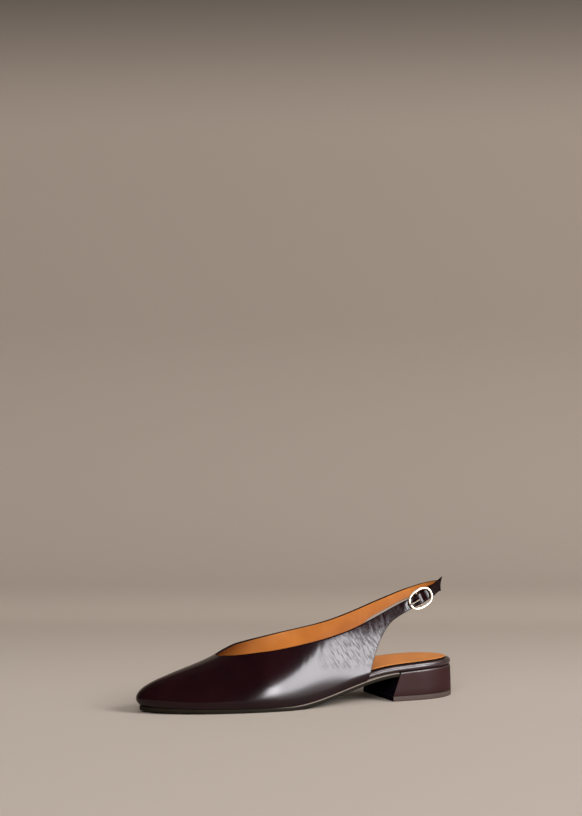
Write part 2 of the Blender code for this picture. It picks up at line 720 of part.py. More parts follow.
def clear_scene():
    for piece in list(bpy.data.objects):
        bpy.data.objects.remove(piece, do_unlink=True)


def build():
    clear_scene()
    make_upper(material("glossy_upper", UPPER_COLOUR, 0.25))
    make_outsole(material("sole_leather", SOLE_COLOUR, 0.6))
    make_insole_board(material("wrapped_board", UPPER_COLOUR, 0.35))
    make_insole_sock(material("tan_leather", TAN_COLOUR, 0.55))
    make_heel_block(material("wrapped_heel", HEEL_COLOUR, 0.45))
    make_heel_tip(material("heel_tip_rubber", TIP_COLOUR, 0.65))
    make_buckle(material("pale_metal", METAL_COLOUR, 0.2, 1.0))


build()
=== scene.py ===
import math

import bmesh
import bpy
import numpy as np
from mathutils import Matrix, Vector


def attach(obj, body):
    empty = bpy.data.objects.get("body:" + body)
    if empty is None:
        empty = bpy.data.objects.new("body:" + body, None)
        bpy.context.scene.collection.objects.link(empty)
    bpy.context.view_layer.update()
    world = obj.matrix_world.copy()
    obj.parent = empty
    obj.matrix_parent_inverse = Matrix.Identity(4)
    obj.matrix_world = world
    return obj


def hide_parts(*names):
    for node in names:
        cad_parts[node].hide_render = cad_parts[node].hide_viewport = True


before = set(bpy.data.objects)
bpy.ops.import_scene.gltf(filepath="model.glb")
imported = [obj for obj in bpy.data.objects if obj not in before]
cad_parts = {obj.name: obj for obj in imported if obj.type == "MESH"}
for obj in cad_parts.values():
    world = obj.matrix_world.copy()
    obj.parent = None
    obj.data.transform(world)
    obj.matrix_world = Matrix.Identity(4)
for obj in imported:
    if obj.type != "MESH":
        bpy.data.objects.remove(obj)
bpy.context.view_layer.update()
mm = 0.001               # sizes below are millimetres, and place() turns them into metres
print("frame: %d nodes" % len(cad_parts))


# Curves

def smoothShare(value):
    share = np.clip(value, 0.0, 1.0)
    return share * share * (3.0 - 2.0 * share)


def smoothCurve(knots, rows):
    # natural cubic through the rows, so that gloss runs on without a kink
    knots, rows = np.asarray(knots, float), np.asarray(rows, float)
    steps = np.diff(knots)
    count = len(knots)
    system, pull = np.eye(count), np.zeros_like(rows)
    for row in range(1, count - 1):
        before, after = steps[row - 1], steps[row]
        system[row, row - 1:row + 2] = before, 2.0 * (before + after), after
        pull[row] = 6.0 * ((rows[row + 1] - rows[row]) / after - (rows[row] - rows[row - 1]) / before)
    bends = np.linalg.solve(system, pull)

    def curve(at):
        low = int(np.clip(np.searchsorted(knots, at) - 1, 0, count - 2))
        right = (at - knots[low]) / steps[low]
        left = 1.0 - right
        bend = (left ** 3 - left) * bends[low] + (right ** 3 - right) * bends[low + 1]
        return left * rows[low] + right * rows[low + 1] + bend * steps[low] ** 2 / 6.0

    return curve


def edgeCurve(table, column):
    # gentler curve for an edge that starts steeply, which never swings past its rows
    rows = np.array(table)
    knots, values = rows[:, 0], rows[:, column]
    slopes = np.gradient(values, knots)

    def curve(at):
        low = int(np.clip(np.searchsorted(knots, at) - 1, 0, len(knots) - 2))
        span = knots[low + 1] - knots[low]
        share = (at - knots[low]) / span
        rising = smoothShare(share)
        leave, arrive = share * (1.0 - share) ** 2, share * share * (share - 1.0)
        return float(values[low] * (1.0 - rising) + values[low + 1] * rising
                     + span * (slopes[low] * leave + slopes[low + 1] * arrive))

    return curve


def runAlong(points):
    # distance covered at each of a row of points
    return np.concatenate(([0.0], np.cumsum(np.linalg.norm(np.diff(points, axis=0), axis=1))))


# The last, as the CAD has it: toe towards -X, outer side towards -Y

last = {
    "length": 265.0,
    "ballWidth": 71.5,
    "instep": 40.6,          # throat above the floor
    "heelHeight": 24.8,
    "axisShift": 2.1,
    "gap": 0.3,
    "wall": 1.5,             # leather and lining together
    "lip": 0.6,              # sole edge outside the feather line
    "tuckHeight": 7.0,       # the wall curves in to the feather line below this
    "toeSwing": 1.8,
    "swingLength": 70.0,
    "throatRow": 8,
}

# along and crestAlong in percent of the length, outer and inner in percent of the ball width, crest in
# percent of the instep, wall and crowns as shares, swells and tuck in millimetres
lastColumns = ("along", "outer", "inner", "crestAlong", "crest", "wall",
               "outerCrown", "innerCrown", "outerSwell", "innerSwell", "tuck")
lastSections = (
    (1.0, 0.0, 0.0, 2.9, 49.5, 0.62, 0.60, 0.60, 0.4, 0.4, 4.0),
    (1.3, 4.4, 4.4, 3.1, 50.4, 0.62, 0.60, 0.60, 0.4, 0.4, 4.0),
    (1.9, 8.0, 7.8, 3.7, 52.3, 0.61, 0.60, 0.60, 0.4, 0.4, 3.8),
    (3.4, 14.2, 13.4, 5.2, 57.0, 0.60, 0.60, 0.60, 0.3, 0.3, 3.0),
    (6.1, 21.9, 20.4, 7.6, 63.2, 0.58, 0.60, 0.60, 0.2, 0.2, 2.1),
    (9.8, 29.4, 27.1, 10.8, 70.4, 0.57, 0.60, 0.60, 0.0, 0.0, 1.5),
    (15.0, 37.6, 34.7, 15.6, 80.5, 0.56, 0.61, 0.62, 0.0, 0.0, 1.0),
    (19.6, 42.4, 39.3, 19.8, 89.2, 0.56, 0.62, 0.64, 0.0, 0.0, 0.9),
    (24.3, 46.2, 43.0, 24.3, 100.0, 0.56, 0.64, 0.71, 0.0, 0.0, 0.8),
    (28.3, 49.0, 45.6, 28.3, 112.0, 0.56, 0.64, 0.80, 0.0, 0.2, 0.7),
    (33.2, 51.5, 47.0, 33.2, 130.0, 0.52, 0.75, 0.96, 0.0, 0.5, 0.5),
    (40.0, 53.0, 46.7, 40.0, 162.0, 0.50, 0.70, 0.97, 0.0, 1.5, 0.5),
    (46.8, 51.9, 43.1, 46.8, 196.0, 0.50, 0.62, 1.04, 0.0, 3.0, 0.5),
    (54.3, 48.4, 39.4, 54.3, 230.0, 0.50, 0.53, 1.03, -0.8, 3.5, 0.5),
    (61.9, 44.5, 38.6, 61.9, 256.0, 0.48, 0.38, 0.67, -2.0, 1.8, 0.8),
    (67.9, 42.2, 40.6, 67.9, 270.0, 0.46, 0.28, 0.36, -3.8, -2.0, 1.2),
    (74.7, 40.2, 40.2, 74.7, 283.0, 0.45, 0.32, 0.29, -6.2, -4.9, 1.2),
    (82.3, 39.4, 39.4, 82.3, 296.0, 0.44, 0.30, 0.27, -7.4, -6.6, 1.2),
)

# top edge from the throat back: along, half width, outer height, inner height
topline = (
    (64.4, 0.0, 40.6, 40.6),
    (65.0, 2.4, 40.7, 40.7),
    (68.0, 7.4, 40.9, 41.0),
    (72.0, 12.2, 41.6, 41.9),
    (78.0, 17.2, 42.9, 43.6),
    (88.0, 23.2, 44.4, 45.6),
    (96.0, 26.4, 45.4, 46.7),
    (112.0, 29.2, 47.8, 49.1),
    (130.0, 29.6, 50.7, 52.2),
    (150.0, 27.4, 54.3, 55.8),
    (170.0, 24.0, 59.2, 60.5),
    (190.0, 20.6, 66.5, 67.4),
    (208.0, 18.5, 74.1, 74.6),
    (216.0, 17.6, 77.4, 77.6),
)

# back edge of the quarters: along, outer height, inner height
rearEdge = (
    (179.5, 17.8, 17.8),
    (181.4, 21.4, 21.4),
    (183.2, 26.3, 26.3),
    (185.0, 31.6, 31.6),
    (187.5, 37.3, 37.3),
    (190.3, 43.4, 43.2),
    (194.0, 49.9, 49.2),
    (198.0, 55.4, 54.2),
    (202.0, 59.9, 58.2),
    (206.0, 63.2, 61.4),
    (210.0, 65.5, 63.6),
    (214.0, 67.5, 65.5),
)
topHalf, topOuter, topInner = (edgeCurve(topline, column) for column in (1, 2, 3))
rearOuter, rearInner = (edgeCurve(rearEdge, column) for column in (1, 2))

sole = {
    "thickness": 3.1,
    "toeSpring": 1.9,
    "springPower": 1.3,
    "flatStart": 75.0,
    "flatEnd": 109.0,
    "breast": 205.0,
    "breastShare": 0.77,     # of the heel's height
    "breastSlope": 0.08,
    "end": 208.4,
    "tipStation": 0.8,
    "nearEnd": 8.0,          # finer rings round the toe tip up to this station
    "nearSteps": 10,
    "step": 0.9,             # along the sole between rings
    # shares of the thickness from the bottom up, and how far the edge is set in there
    "profile": ((0.0, 0.5), (0.04, 0.25), (0.11, 0.07), (0.2, 0.0), (0.78, 0.0), (0.89, 0.04),
                (0.96, 0.13), (1.0, 0.3)),
}
breastRise = sole["breastShare"] * last["heelHeight"]


def tread(along):
    # underside of the sole
    if along < sole["flatStart"]:
        return sole["toeSpring"] * ((sole["flatStart"] - along) / sole["flatStart"]) ** sole["springPower"]
    if along <= sole["flatEnd"]:
        return 0.0
    span = sole["breast"] - sole["flatEnd"]
    share = (along - sole["flatEnd"]) / span
    if share > 1.0:
        return breastRise + sole["breastSlope"] * (along - sole["breast"])
    return breastRise * smoothShare(share) + sole["breastSlope"] * span * share * share * (share - 1.0)


def seat(along):
    # underside of the insole board
    if along <= sole["breast"]:
        return tread(along) + sole["thickness"] + last["gap"]
    start = breastRise + sole["thickness"] + last["gap"]
    run = last["length"] - sole["breast"]
    bend = (last["heelHeight"] - start - sole["breastSlope"] * run) / run ** 2
    return start + sole["breastSlope"] * (along - sole["breast"]) + bend * (along - sole["breast"]) ** 2


def swing(along):
    return last["toeSwing"] * max(0.0, 1.0 - along / last["swingLength"]) ** 2


def lastTable():
    rows = np.array(lastSections)
    column = {name: rows[:, index] for index, name in enumerate(lastColumns)}
    along, crestAlong = (column[name] * last["length"] / 100.0 for name in ("along", "crestAlong"))
    outer, inner = (column[name] * last["ballWidth"] / 100.0 for name in ("outer", "inner"))
    crest = column["crest"] * last["instep"] / 100.0
    shared = (crestAlong, crest, np.gradient(crest, crestAlong), column["wall"], column["tuck"])
    outerRows = np.column_stack((along, -outer) + shared + (column["outerCrown"], column["outerSwell"]))
    innerRows = np.column_stack((along, inner) + shared + (column["innerCrown"], column["innerSwell"]))
    stations = np.concatenate(([0.0], np.cumsum(np.hypot(np.diff(along), np.diff(outer)))))
    knots = np.concatenate((-stations[:0:-1], stations))
    return stations, smoothCurve(knots, np.vstack((innerRows[:0:-1], outerRows)))


lastStations, lastCurve = lastTable()    # stations run round the toe, below 0 on the inner side
throatStation = lastStations[last["throatRow"]]


def plan(station):
    along, half = lastCurve(station)[:2]
    return np.array((along, half + swing(along)))


def outward(station):
    step = 0.05
    run = plan(station + step) - plan(station - step)
    run /= np.linalg.norm(run)
    return np.array((run[1], -run[0]))


def outline(station, inset):
    return plan(station) - inset * outward(station)


stationSamples = np.linspace(0.0, lastStations[-1], 1500)
alongSamples = [plan(value)[0] for value in stationSamples]


def stationAt(along):
    return float(np.interp(along, alongSamples, stationSamples))


def section(station, shares):
    # from the feather line at share 0 to the crest at share 1
    along, half, crestAlong, crest, slope, wall, tuck, crown, swell = lastCurve(station)
    out = outward(station)
    base = outline(station, last["lip"] - tuck)
    edge = tread(along) + sole["thickness"] + last["gap"]
    top = np.array((crestAlong, swing(crestAlong)))
    toward = base - top
    reach = np.linalg.norm(toward)
    toward /= reach
    foot = np.array((*base, edge))
    crownEnd = np.array((*top, crest))
    wallEnd = foot + np.array((*(out * swell), wall * (crest - edge)))
    levelEnd = crownEnd + crown * reach * np.array((*toward, slope * toward[0]))
    share = np.asarray(shares)[:, None]
    rest = 1.0 - share
    points = (foot * rest ** 3 + 3.0 * wallEnd * rest ** 2 * share
              + 3.0 * levelEnd * rest * share ** 2 + crownEnd * share ** 3)
    low = np.clip(1.0 - (points[:, 2] - edge) / last["tuckHeight"], 0.0, 1.0)
    points[:, :2] -= np.outer(tuck * low ** 2, out)
    return points


def topShare(station):
    if abs(station) <= throatStation:
        return 1.0
    along = plan(station)[0]
    inner = station < 0.0
    side = topHalf(along) if inner else -topHalf(along)
    height = topInner(along) if inner else topOuter(along)
    shares = np.linspace(0.2, 1.0, 401)
    points = section(station, shares)
    away = (points[:, 1] - side) ** 2 + (points[:, 2] - height) ** 2
    near = int(np.clip(np.argmin(away), 1, len(shares) - 2))
    before, here, after = away[near - 1:near + 2]
    nudge = 0.5 * (before - after) / (before - 2.0 * here + after)    # lowest point of the parabola there
    return min(1.0, shares[near] + float(np.clip(nudge, -1.0, 1.0)) * (shares[1] - shares[0]))


def lowShare(station):
    along = plan(station)[0]
    if along <= rearEdge[0][0]:
        return 0.0
    height = rearInner(along) if station < 0.0 else rearOuter(along)
    shares = np.linspace(0.0, 1.0, 801)
    return float(np.interp(height, section(station, shares)[:, 2], shares))


def place(point):
    along, side, height = point
    return Vector(((along - last["length"] / 2.0) * mm, (side + last["axisShift"]) * mm, height * mm))


# Shader groups and node helpers

def addNode(tree, kind, settings=(), inputs=()):
    made = tree.nodes.new(kind)
    for name, value in dict(settings).items():
        setattr(made, name, value)
    for name, value in dict(inputs).items():
        if isinstance(value, bpy.types.NodeSocket):
            tree.links.new(value, made.inputs[name])
        else:
            made.inputs[name].default_value = value
    return made


def math2(tree, operation, first, second):
    return addNode(tree, "ShaderNodeMath", {"operation": operation}, {0: first, 1: second}).outputs[0]


def ramp(tree, value, fromLow, fromHigh, toLow, toHigh):
    inputs = {"Value": value, "From Min": fromLow, "From Max": fromHigh, "To Min": toLow, "To Max": toHigh}
    made = addNode(tree, "ShaderNodeMapRange", {"interpolation_type": "SMOOTHSTEP"}, inputs)
    return made.outputs["Result"]


def mixColour(tree, share, first, second):
    made = addNode(tree, "ShaderNodeMix", {"data_type": "RGBA"}, {"Factor": share})
    for index, colour in ((6, first), (7, second)):
        if isinstance(colour, bpy.types.NodeSocket):
            tree.links.new(colour, made.inputs[index])
        else:
            made.inputs[index].default_value = (*colour, 1.0)
    return made.outputs[2]


def startGroup(name, inputs, outputs):
    group = bpy.data.node_groups.new(name, "ShaderNodeTree")
    for label, kind in inputs:
        group.interface.new_socket(name=label, in_out="INPUT", socket_type=kind)
    for label in outputs:
        group.interface.new_socket(name=label, in_out="OUTPUT", socket_type="NodeSocketFloat")
    return group, group.nodes.new("NodeGroupInput").outputs, group.nodes.new("NodeGroupOutput").inputs


grainShape = {
    "smoothness": 0.6,
    "fineScale": 2.7,        # times the cells
    "fineShare": 0.5,
    "fineDetail": 3.0,
    "cloudScale": 55.0,
    "cloudDetail": 4.0,
    "cloudFrom": (0.3, 0.7),
}
strokeShape = {
    "depth": 150.0,          # change across the shoe
    "detail": 2.0,
    "roughness": 0.6,
    "dullFrom": (0.46, 0.60),
}


def makeLeatherGrain():
    # pores between soft cells, and a slow cloud for tone
    inputs = (("Place", "NodeSocketVector"), ("Cells", "NodeSocketFloat"))
    group, given, out = startGroup("leatherGrain", inputs, ("Height", "Cloud"))
    spot = given["Place"]
    cells = addNode(group, "ShaderNodeTexVoronoi", {"feature": "SMOOTH_F1"},
                    {"Vector": spot, "Scale": given["Cells"], "Smoothness": grainShape["smoothness"]})
    fineScale = math2(group, "MULTIPLY", given["Cells"], grainShape["fineScale"])
    fine = addNode(group, "ShaderNodeTexNoise", {},
                   {"Vector": spot, "Scale": fineScale, "Detail": grainShape["fineDetail"]})
    rough = math2(group, "MULTIPLY", fine.outputs["Fac"], grainShape["fineShare"])
    group.links.new(math2(group, "ADD", cells.outputs["Distance"], rough), out["Height"])
    cloud = addNode(group, "ShaderNodeTexNoise", {},
                    {"Vector": spot, "Scale": grainShape["cloudScale"], "Detail": grainShape["cloudDetail"]})
    group.links.new(ramp(group, cloud.outputs["Fac"], *grainShape["cloudFrom"], 0.0, 1.0), out["Cloud"])
    return group


def makeWrinkleStrokes():
    # short strokes that run along one direction, as leather shows where it has been lasted and bent
    inputs = [(name, "NodeSocketVector") for name in ("Place", "Across", "Along")]
    group, given, out = startGroup("wrinkleStrokes", inputs, ("Dull",))
    spot = given["Place"]
    across, along = (addNode(group, "ShaderNodeVectorMath", {"operation": "DOT_PRODUCT"},
                             {0: spot, 1: given[name]}).outputs["Value"] for name in ("Across", "Along"))
    side = addNode(group, "ShaderNodeSeparateXYZ", {}, {0: spot}).outputs["Y"]
    depth = math2(group, "MULTIPLY", side, strokeShape["depth"])
    stretched = addNode(group, "ShaderNodeCombineXYZ", {}, {0: across, 1: depth, 2: along})
    strokes = addNode(group, "ShaderNodeTexNoise", {},
                      {"Vector": stretched.outputs[0], "Scale": 1.0, "Detail": strokeShape["detail"],
                       "Roughness": strokeShape["roughness"]})
    group.links.new(ramp(group, strokes.outputs["Fac"], *strokeShape["dullFrom"], 0.0, 1.0), out["Dull"])
    return group


leatherGrain = makeLeatherGrain()
wrinkleStrokes = makeWrinkleStrokes()


def startMaterial(name, shaderValues):
    finish = bpy.data.materials.new(name)
    finish.use_nodes = True
    tree = finish.node_tree
    shader = tree.nodes["Principled BSDF"]
    for label, value in shaderValues.items():
        shader.inputs[label].default_value = value
    spot = tree.nodes.new("ShaderNodeTexCoord").outputs["Object"]
    return finish, tree, shader, spot


def useGroup(tree, group, inputs):
    return addNode(tree, "ShaderNodeGroup", {"node_tree": group}, inputs).outputs


def startFinish(name, values, shaderValues):
    # tone and roughness that vary slowly, and a fine grain
    finish, tree, shader, spot = startMaterial(name, shaderValues)
    grain = useGroup(tree, leatherGrain, {"Place": spot, "Cells": values["cells"]})
    tone = mixColour(tree, grain["Cloud"], values["dark"], values["light"])
    rough = ramp(tree, grain["Cloud"], 0.0, 1.0, *values["roughness"])
    height = math2(tree, "MULTIPLY", grain["Height"], values["grain"])
    bump = addNode(tree, "ShaderNodeBump", {}, {"Strength": 1.0, "Distance": mm, "Height": height})
    for output, label in ((tone, "Base Color"), (rough, "Roughness"), (bump.outputs["Normal"], "Normal")):
        tree.links.new(output, shader.inputs[label])
    return finish, tree, shader, spot, tone, rough


def between(tree, value, span):
    # 0 before a span in millimetres, 1 after it
    return ramp(tree, value, *(edge * mm for edge in span), 0.0, 1.0)


def strokeGloss(tree, spot, parts, strokes):
    # share of the gloss that a set of strokes leaves
    turn = math.radians(strokes["turn"])
    across = Vector((math.sin(turn), 0.0, math.cos(turn))) * strokes["across"]
    along = Vector((math.cos(turn), 0.0, -math.sin(turn))) * strokes["along"]
    lines = useGroup(tree, wrinkleStrokes, {"Place": spot, "Across": across, "Along": along})["Dull"]
    back = between(tree, parts["X"], strokes["fromAlong"])
    up = between(tree, parts["Z"], strokes["fromHeight"])
    mask = math2(tree, "MULTIPLY", back, up)
    dull = ramp(tree, lines, 0.0, 1.0, 0.0, strokes["dull"])
    return math2(tree, "SUBTRACT", 1.0, math2(tree, "MULTIPLY", dull, mask))


def makeLeather(name, values):
    coat = values.get("coat", {})
    shaderValues = {"Specular IOR Level": values["specular"], **coat}
    finish, tree, shader, spot, tone, rough = startFinish(name, values, shaderValues)
    parts = addNode(tree, "ShaderNodeSeparateXYZ", {}, {0: spot}).outputs
    if "paintedShade" in values:         # painted shade: darker towards the toe, where the vamp shades the lining
        tone = mixColour(tree, between(tree, parts["X"], values["paintedShadeFrom"]), values["paintedShade"], tone)
    if "line" in values:         # painted highlight: thin pale line along the top of the sole's edge, where it would catch the light
        share = addNode(tree, "ShaderNodeAttribute", {"attribute_name": "share"}).outputs["Fac"]
        high = ramp(tree, share, *values["lineShares"], 0.0, 1.0)
        behind = between(tree, parts["X"], values["lineFrom"])
        tone = mixColour(tree, math2(tree, "MULTIPLY", high, behind), tone, values["line"])
    if "edge" in values:         # dark and dull at a cut edge of the upper; on the lining the same mark is painted shade behind the billet's hole
        near = addNode(tree, "ShaderNodeAttribute", {"attribute_name": "edgePaintAndHoleShade"}).outputs["Fac"]
        tone = mixColour(tree, near, tone, values["edge"])
        rough = math2(tree, "ADD", rough, ramp(tree, near, *edgeDull["from"], 0.0, edgeDull["roughness"]))
        tree.links.new(rough, shader.inputs["Roughness"])
        if coat:
            gloss = ramp(tree, near, 0.0, 1.0, coat["Coat Weight"], edgeDull["gloss"])
            for strokes in values["strokes"]:
                gloss = math2(tree, "MULTIPLY", gloss, strokeGloss(tree, spot, parts, strokes))
            tree.links.new(gloss, shader.inputs["Coat Weight"])
    tree.links.new(tone, shader.inputs["Base Color"])
    return finish


def makeMetal(name, values):
    return startFinish(name, values, {"Metallic": values["metallic"]})[0]


edgeDull = {"from": (0.2, 0.9), "roughness": 0.6, "gloss": 0.1}
upperFinish = {
    "dark": (0.0075, 0.0012, 0.0021), "light": (0.0115, 0.0020, 0.0030), "edge": (0.006, 0.0015, 0.002),
    "roughness": (0.40, 0.48), "specular": 0.0, "cells": 1500.0, "grain": 0.005,
    "coat": {"Coat Weight": 1.0, "Coat Roughness": 0.14, "Coat IOR": 1.33},
    "strokes": (
        {"turn": 57.0, "across": 1150.0, "along": 150.0, "dull": 0.50,
         "fromAlong": (-8.0, 28.0), "fromHeight": (24.0, 34.0)},
        {"turn": 72.0, "across": 1350.0, "along": 260.0, "dull": 0.46,
         "fromAlong": (10.0, 46.0), "fromHeight": (38.0, 54.0)},
    ),
}
rimFinish = {
    "dark": (0.015, 0.0032, 0.0040), "light": (0.022, 0.0052, 0.0060),
    "roughness": (0.30, 0.35), "specular": 0.6, "cells": 1500.0, "grain": 0.001,
}
heelFinish = {
    "dark": (0.027, 0.0076, 0.0075), "light": (0.032, 0.0094, 0.0092),
    "roughness": (0.50, 0.58), "specular": 0.08, "cells": 1400.0, "grain": 0.008,
}
tanFinish = {
    "dark": (0.57, 0.196, 0.036), "light": (0.65, 0.236, 0.050),
    "roughness": (0.46, 0.56), "specular": 0.25, "cells": 1300.0, "grain": 0.02,
}
# painted shade on the lining: darker towards the toe, where the vamp shades it
liningFinish = {
    **tanFinish, "dark": (0.51, 0.172, 0.031), "light": (0.59, 0.213, 0.045),
    # the lining's edge colour is painted shade behind the billet's hole
    "paintedShade": (0.195, 0.062, 0.0098), "paintedShadeFrom": (-66.0, 4.0), "edge": (0.010, 0.005, 0.004),
}
threadFinish = {
    "dark": (0.020, 0.006, 0.007), "light": (0.034, 0.011, 0.012),
    "roughness": (0.55, 0.7), "specular": 0.4, "cells": 5000.0, "grain": 0.02,
}
# the pale line is a painted highlight along the top of the sole's edge, behind the ball
soleFinish = {
    "dark": (0.011, 0.0080, 0.0046), "light": (0.016, 0.0120, 0.0070), "line": (0.26, 0.215, 0.18),
    "lineFrom": (-38.0, -4.0), "lineShares": (0.83, 0.89),
    "roughness": (0.5, 0.62), "specular": 0.05, "cells": 1100.0, "grain": 0.03,
}
# near black: the heel's black breast cover, with painted shade on it and on the top piece's front face
breastAndShadeFinish = {
    "dark": (0.0036, 0.0026, 0.0046), "light": (0.0050, 0.0038, 0.0062),
    "roughness": (0.5, 0.6), "specular": 0.0, "cells": 1400.0, "grain": 0.02,
}
tipFinish = {
    "dark": (0.070, 0.048, 0.041), "light": (0.086, 0.061, 0.052),
    "roughness": (0.6, 0.72), "specular": 0.1, "cells": 1700.0, "grain": 0.03,
}
# dark cut edges of the leather, also used as painted shade on the sock's edge
cutEdgeAndShadeFinish = {
    "dark": (0.0050, 0.0020, 0.0020), "light": (0.0070, 0.0030, 0.0030),
    "roughness": (0.6, 0.7), "specular": 0.03, "cells": 1700.0, "grain": 0.01,
}
ringFinish = {
    "dark": (0.88, 0.75, 0.60), "light": (0.95, 0.84, 0.70),
    "metallic": 0.6, "roughness": (0.32, 0.40), "cells": 2600.0, "grain": 0.002,
}
# painted shade: the prong is pale metal, darkened to stand in for the shade it lies in
shadedProngFinish = {
    "dark": (0.12, 0.10, 0.08), "light": (0.16, 0.13, 0.105),
    "metallic": 1.0, "roughness": (0.28, 0.34), "cells": 2600.0, "grain": 0.002,
}

upperLeather = makeLeather("glossyUpper", upperFinish)
rimLeather = makeLeather("wrappedRim", rimFinish)
heelLeather = makeLeather("wrappedHeel", heelFinish)
breastAndShadeLeather = makeLeather("heelBreastAndShade", breastAndShadeFinish)
tanLeather = makeLeather("tanLeather", tanFinish)
liningLeather = makeLeather("liningLeather", liningFinish)
seamThread = makeLeather("seamThread", threadFinish)
soleEdge = makeLeather("soleEdge", soleFinish)
tipRubber = makeLeather("tipRubber", tipFinish)
cutEdgeAndShade = makeLeather("cutEdgeAndShade", cutEdgeAndShadeFinish)
paleMetal = makeMetal("paleMetal", ringFinish)
shadedProngMetal = makeMetal("shadedProngMetal", shadedProngFinish)
print("finishes: %d materials" % len(bpy.data.materials))


# Mesh helpers

meshing = {
    "merge": 1e-6,           # metres
    "sharpAngle": 45.0,      # degrees
    "roundSegments": 3,
    "wallAngle": 55.0,       # a rim that is rounded turns by more than this
    "blockAngle": 60.0,
}


def sheetFrom(points, markName="", marks=None):
    # a grid, laid on the points of each column and row
    columns, rows = points.shape[:2]
    bm = bmesh.new()
    layer = bm.verts.layers.float.new(markName) if markName else None
    made = bmesh.ops.create_grid(bm, x_segments=columns - 1, y_segments=rows - 1, size=1.0)
    for vert in made["verts"]:
        column = round((vert.co.x + 1.0) / 2.0 * (columns - 1))
        row = round((vert.co.y + 1.0) / 2.0 * (rows - 1))
        vert.co = place(points[column, row])
        if markName:
            vert[layer] = marks[column, row]
    return bm


def addPiece(name, bm, finish, slot, *nodes):
    mesh = bpy.data.meshes.new(name)
    bm.to_mesh(mesh)
    bm.free()
    mesh.materials.append(finish)
    mesh.shade_smooth()
    mesh.set_sharp_from_angle(angle=math.radians(meshing["sharpAngle"]))
    piece = bpy.data.objects.new(name, mesh)
    bpy.context.scene.collection.objects.link(piece)
    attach(piece, "root")
    if nodes:
        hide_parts(*nodes)
    return piece


def addWall(piece, thickness, roundness):
    wall = piece.modifiers.new("wall", "SOLIDIFY")
    wall.thickness = thickness * mm
    wall.offset = -1.0
    wall.use_even_offset = True
    wall.use_quality_normals = True
    wall.material_offset_rim = 1
    piece.data.materials.append(cutEdgeAndShade)
    addRounding(piece, roundness, meshing["wallAngle"])


def addRounding(piece, width, angle):
    edge = piece.modifiers.new("edge", "BEVEL")
    edge.width = width * mm
    edge.segments = meshing["roundSegments"]
    edge.profile = 0.5
    edge.limit_method = "ANGLE"
    edge.angle_limit = math.radians(angle)
    edge.use_clamp_overlap = True


def closeUp(bm):
    # merge the seam, cap what is still open and turn the faces outwards
    bmesh.ops.remove_doubles(bm, verts=bm.verts, dist=meshing["merge"])
    bmesh.ops.holes_fill(bm, edges=[edge for edge in bm.edges if edge.is_boundary], sides=0)
    bmesh.ops.recalc_face_normals(bm, faces=bm.faces)


def paintFaces(bm, index, facing):
    for face in bm.faces:
        if facing(face.normal):
            face.material_index = index


# Upper: vamp, quarters, sling and billet in one sheet

buckle = {
    "at": (231.0, -18.2, 79.4),
    "tilt": 24.0, "turn": 4.4, "lean": 5.0,      # degrees
    "halfLength": 10.3, "halfHeight": 7.1, "squareness": 2.4,
    "wire": 0.9, "lift": 1.3,
    "barRadius": 0.8, "barDepth": -2.85, "barBend": 1.9,
    "prongRadius": 0.65, "prongTip": -11.2, "prongBend": 1.4, "prongRound": 0.3,
    "hookStart": -20.0, "hookTurn": 160.0,       # degrees
    "ringPoints": 160, "wireSides": 18, "bendSteps": 12, "hookSteps": 24, "tipSteps": 15,
}

upper = {
    "rows": 40,
    "rowCrowding": 1.25,
    "frontColumns": 104,
    "sideColumns": 130,
    "sideCrowding": 1.25,
    "backColumns": 84,
    "evenFrom": (185.0, 29.0),      # rows get evenly spread from here, over this length
    "leadAlongs": (206.0, 210.0, 214.0),
    "strapWidth": 8.3,
    "strapStep": 0.45,
    "leather": 0.9,
    "leatherRound": 0.34,
    "lining": 0.5,
    "liningRound": 0.16,
    "liningTop": 0.45,       # lining below the folded top edge
    "liningGap": 0.05,
    "raised": 0.5,           # a lower edge this far over the seat is a cut edge
    "edgeFade": 0.8,
    "topFade": 0.45,
    "holeRadius": 0.65,
    "holeAlong": 211.0,
    "holeShade": 1.3,
    "holePull": 1.8,         # points within this many radii go to the hole's edge
    "prongHoleRadius": 1.15,
    "prongHole": (-1.9, 1.3, 0.0),
    "billetLead": 60,        # columns of the quarter looked at with the billet
    "merge": 2e-6,           # metres
    "slotReach": 3.1,
    "slotShare": 0.125,      # half width of the slot as a share of the strap
}

# sling from the inner quarter round the heel: along, side, lower and upper edge, lean of the lower edge
sling = (
    (222.0, 18.3, 69.6, 79.6, 0.8),
    (230.0, 17.5, 73.3, 82.4, 0.6),
    (238.0, 15.9, 76.3, 84.9, 0.4),
    (246.0, 12.2, 79.2, 87.7, 0.2),
    (252.4, 6.9, 81.5, 89.8, 0.0),
    (255.4, 0.0, 82.8, 91.1, 0.0),
    (253.3, -6.8, 82.8, 91.1, 0.0),
    (248.0, -11.7, 81.9, 90.2, -0.2),
)

# straps at the buckle: reach back along the strap from the bar, stand out from it, shift up across it,
# and for the tail how far its upper edge stands out past the middle
billet = ((-9.0, 0.0, 0.0), (-6.8, 0.12, 0.0), (-5.0, 0.5, 0.0), (-3.2, 1.05, 0.0), (-0.7, 1.55, 0.0),
          (1.2, 1.5, 0.0), (3.0, 1.1, 0.0), (5.0, 0.45, 0.0), (7.2, 0.1, 0.0), (9.6, 0.0, 0.0),
          (13.0, 0.3, 0.5, 0.5), (17.0, 0.7, 1.3, 0.9))
billetEnd = ((20.0, -0.3, -3.2), (24.8, 1.9, 6.8))
billetNotch = {"depth": 1.1, "columns": 8}
slingIn = ((9.6, -2.0, 0.6), (7.2, -1.9, 0.35), (5.0, -1.5, 0.15), (3.0, -0.85, 0.05), (1.4, -0.45, 0.0))
slingOut = ((1.4, -5.45, 0.0), (3.0, -5.45, 0.0), (5.0, -5.45, 0.0), (7.4, -5.5, 0.0), (9.6, -5.6, 0.0))
slingTurn = {"radius": 2.6, "steps": 8}
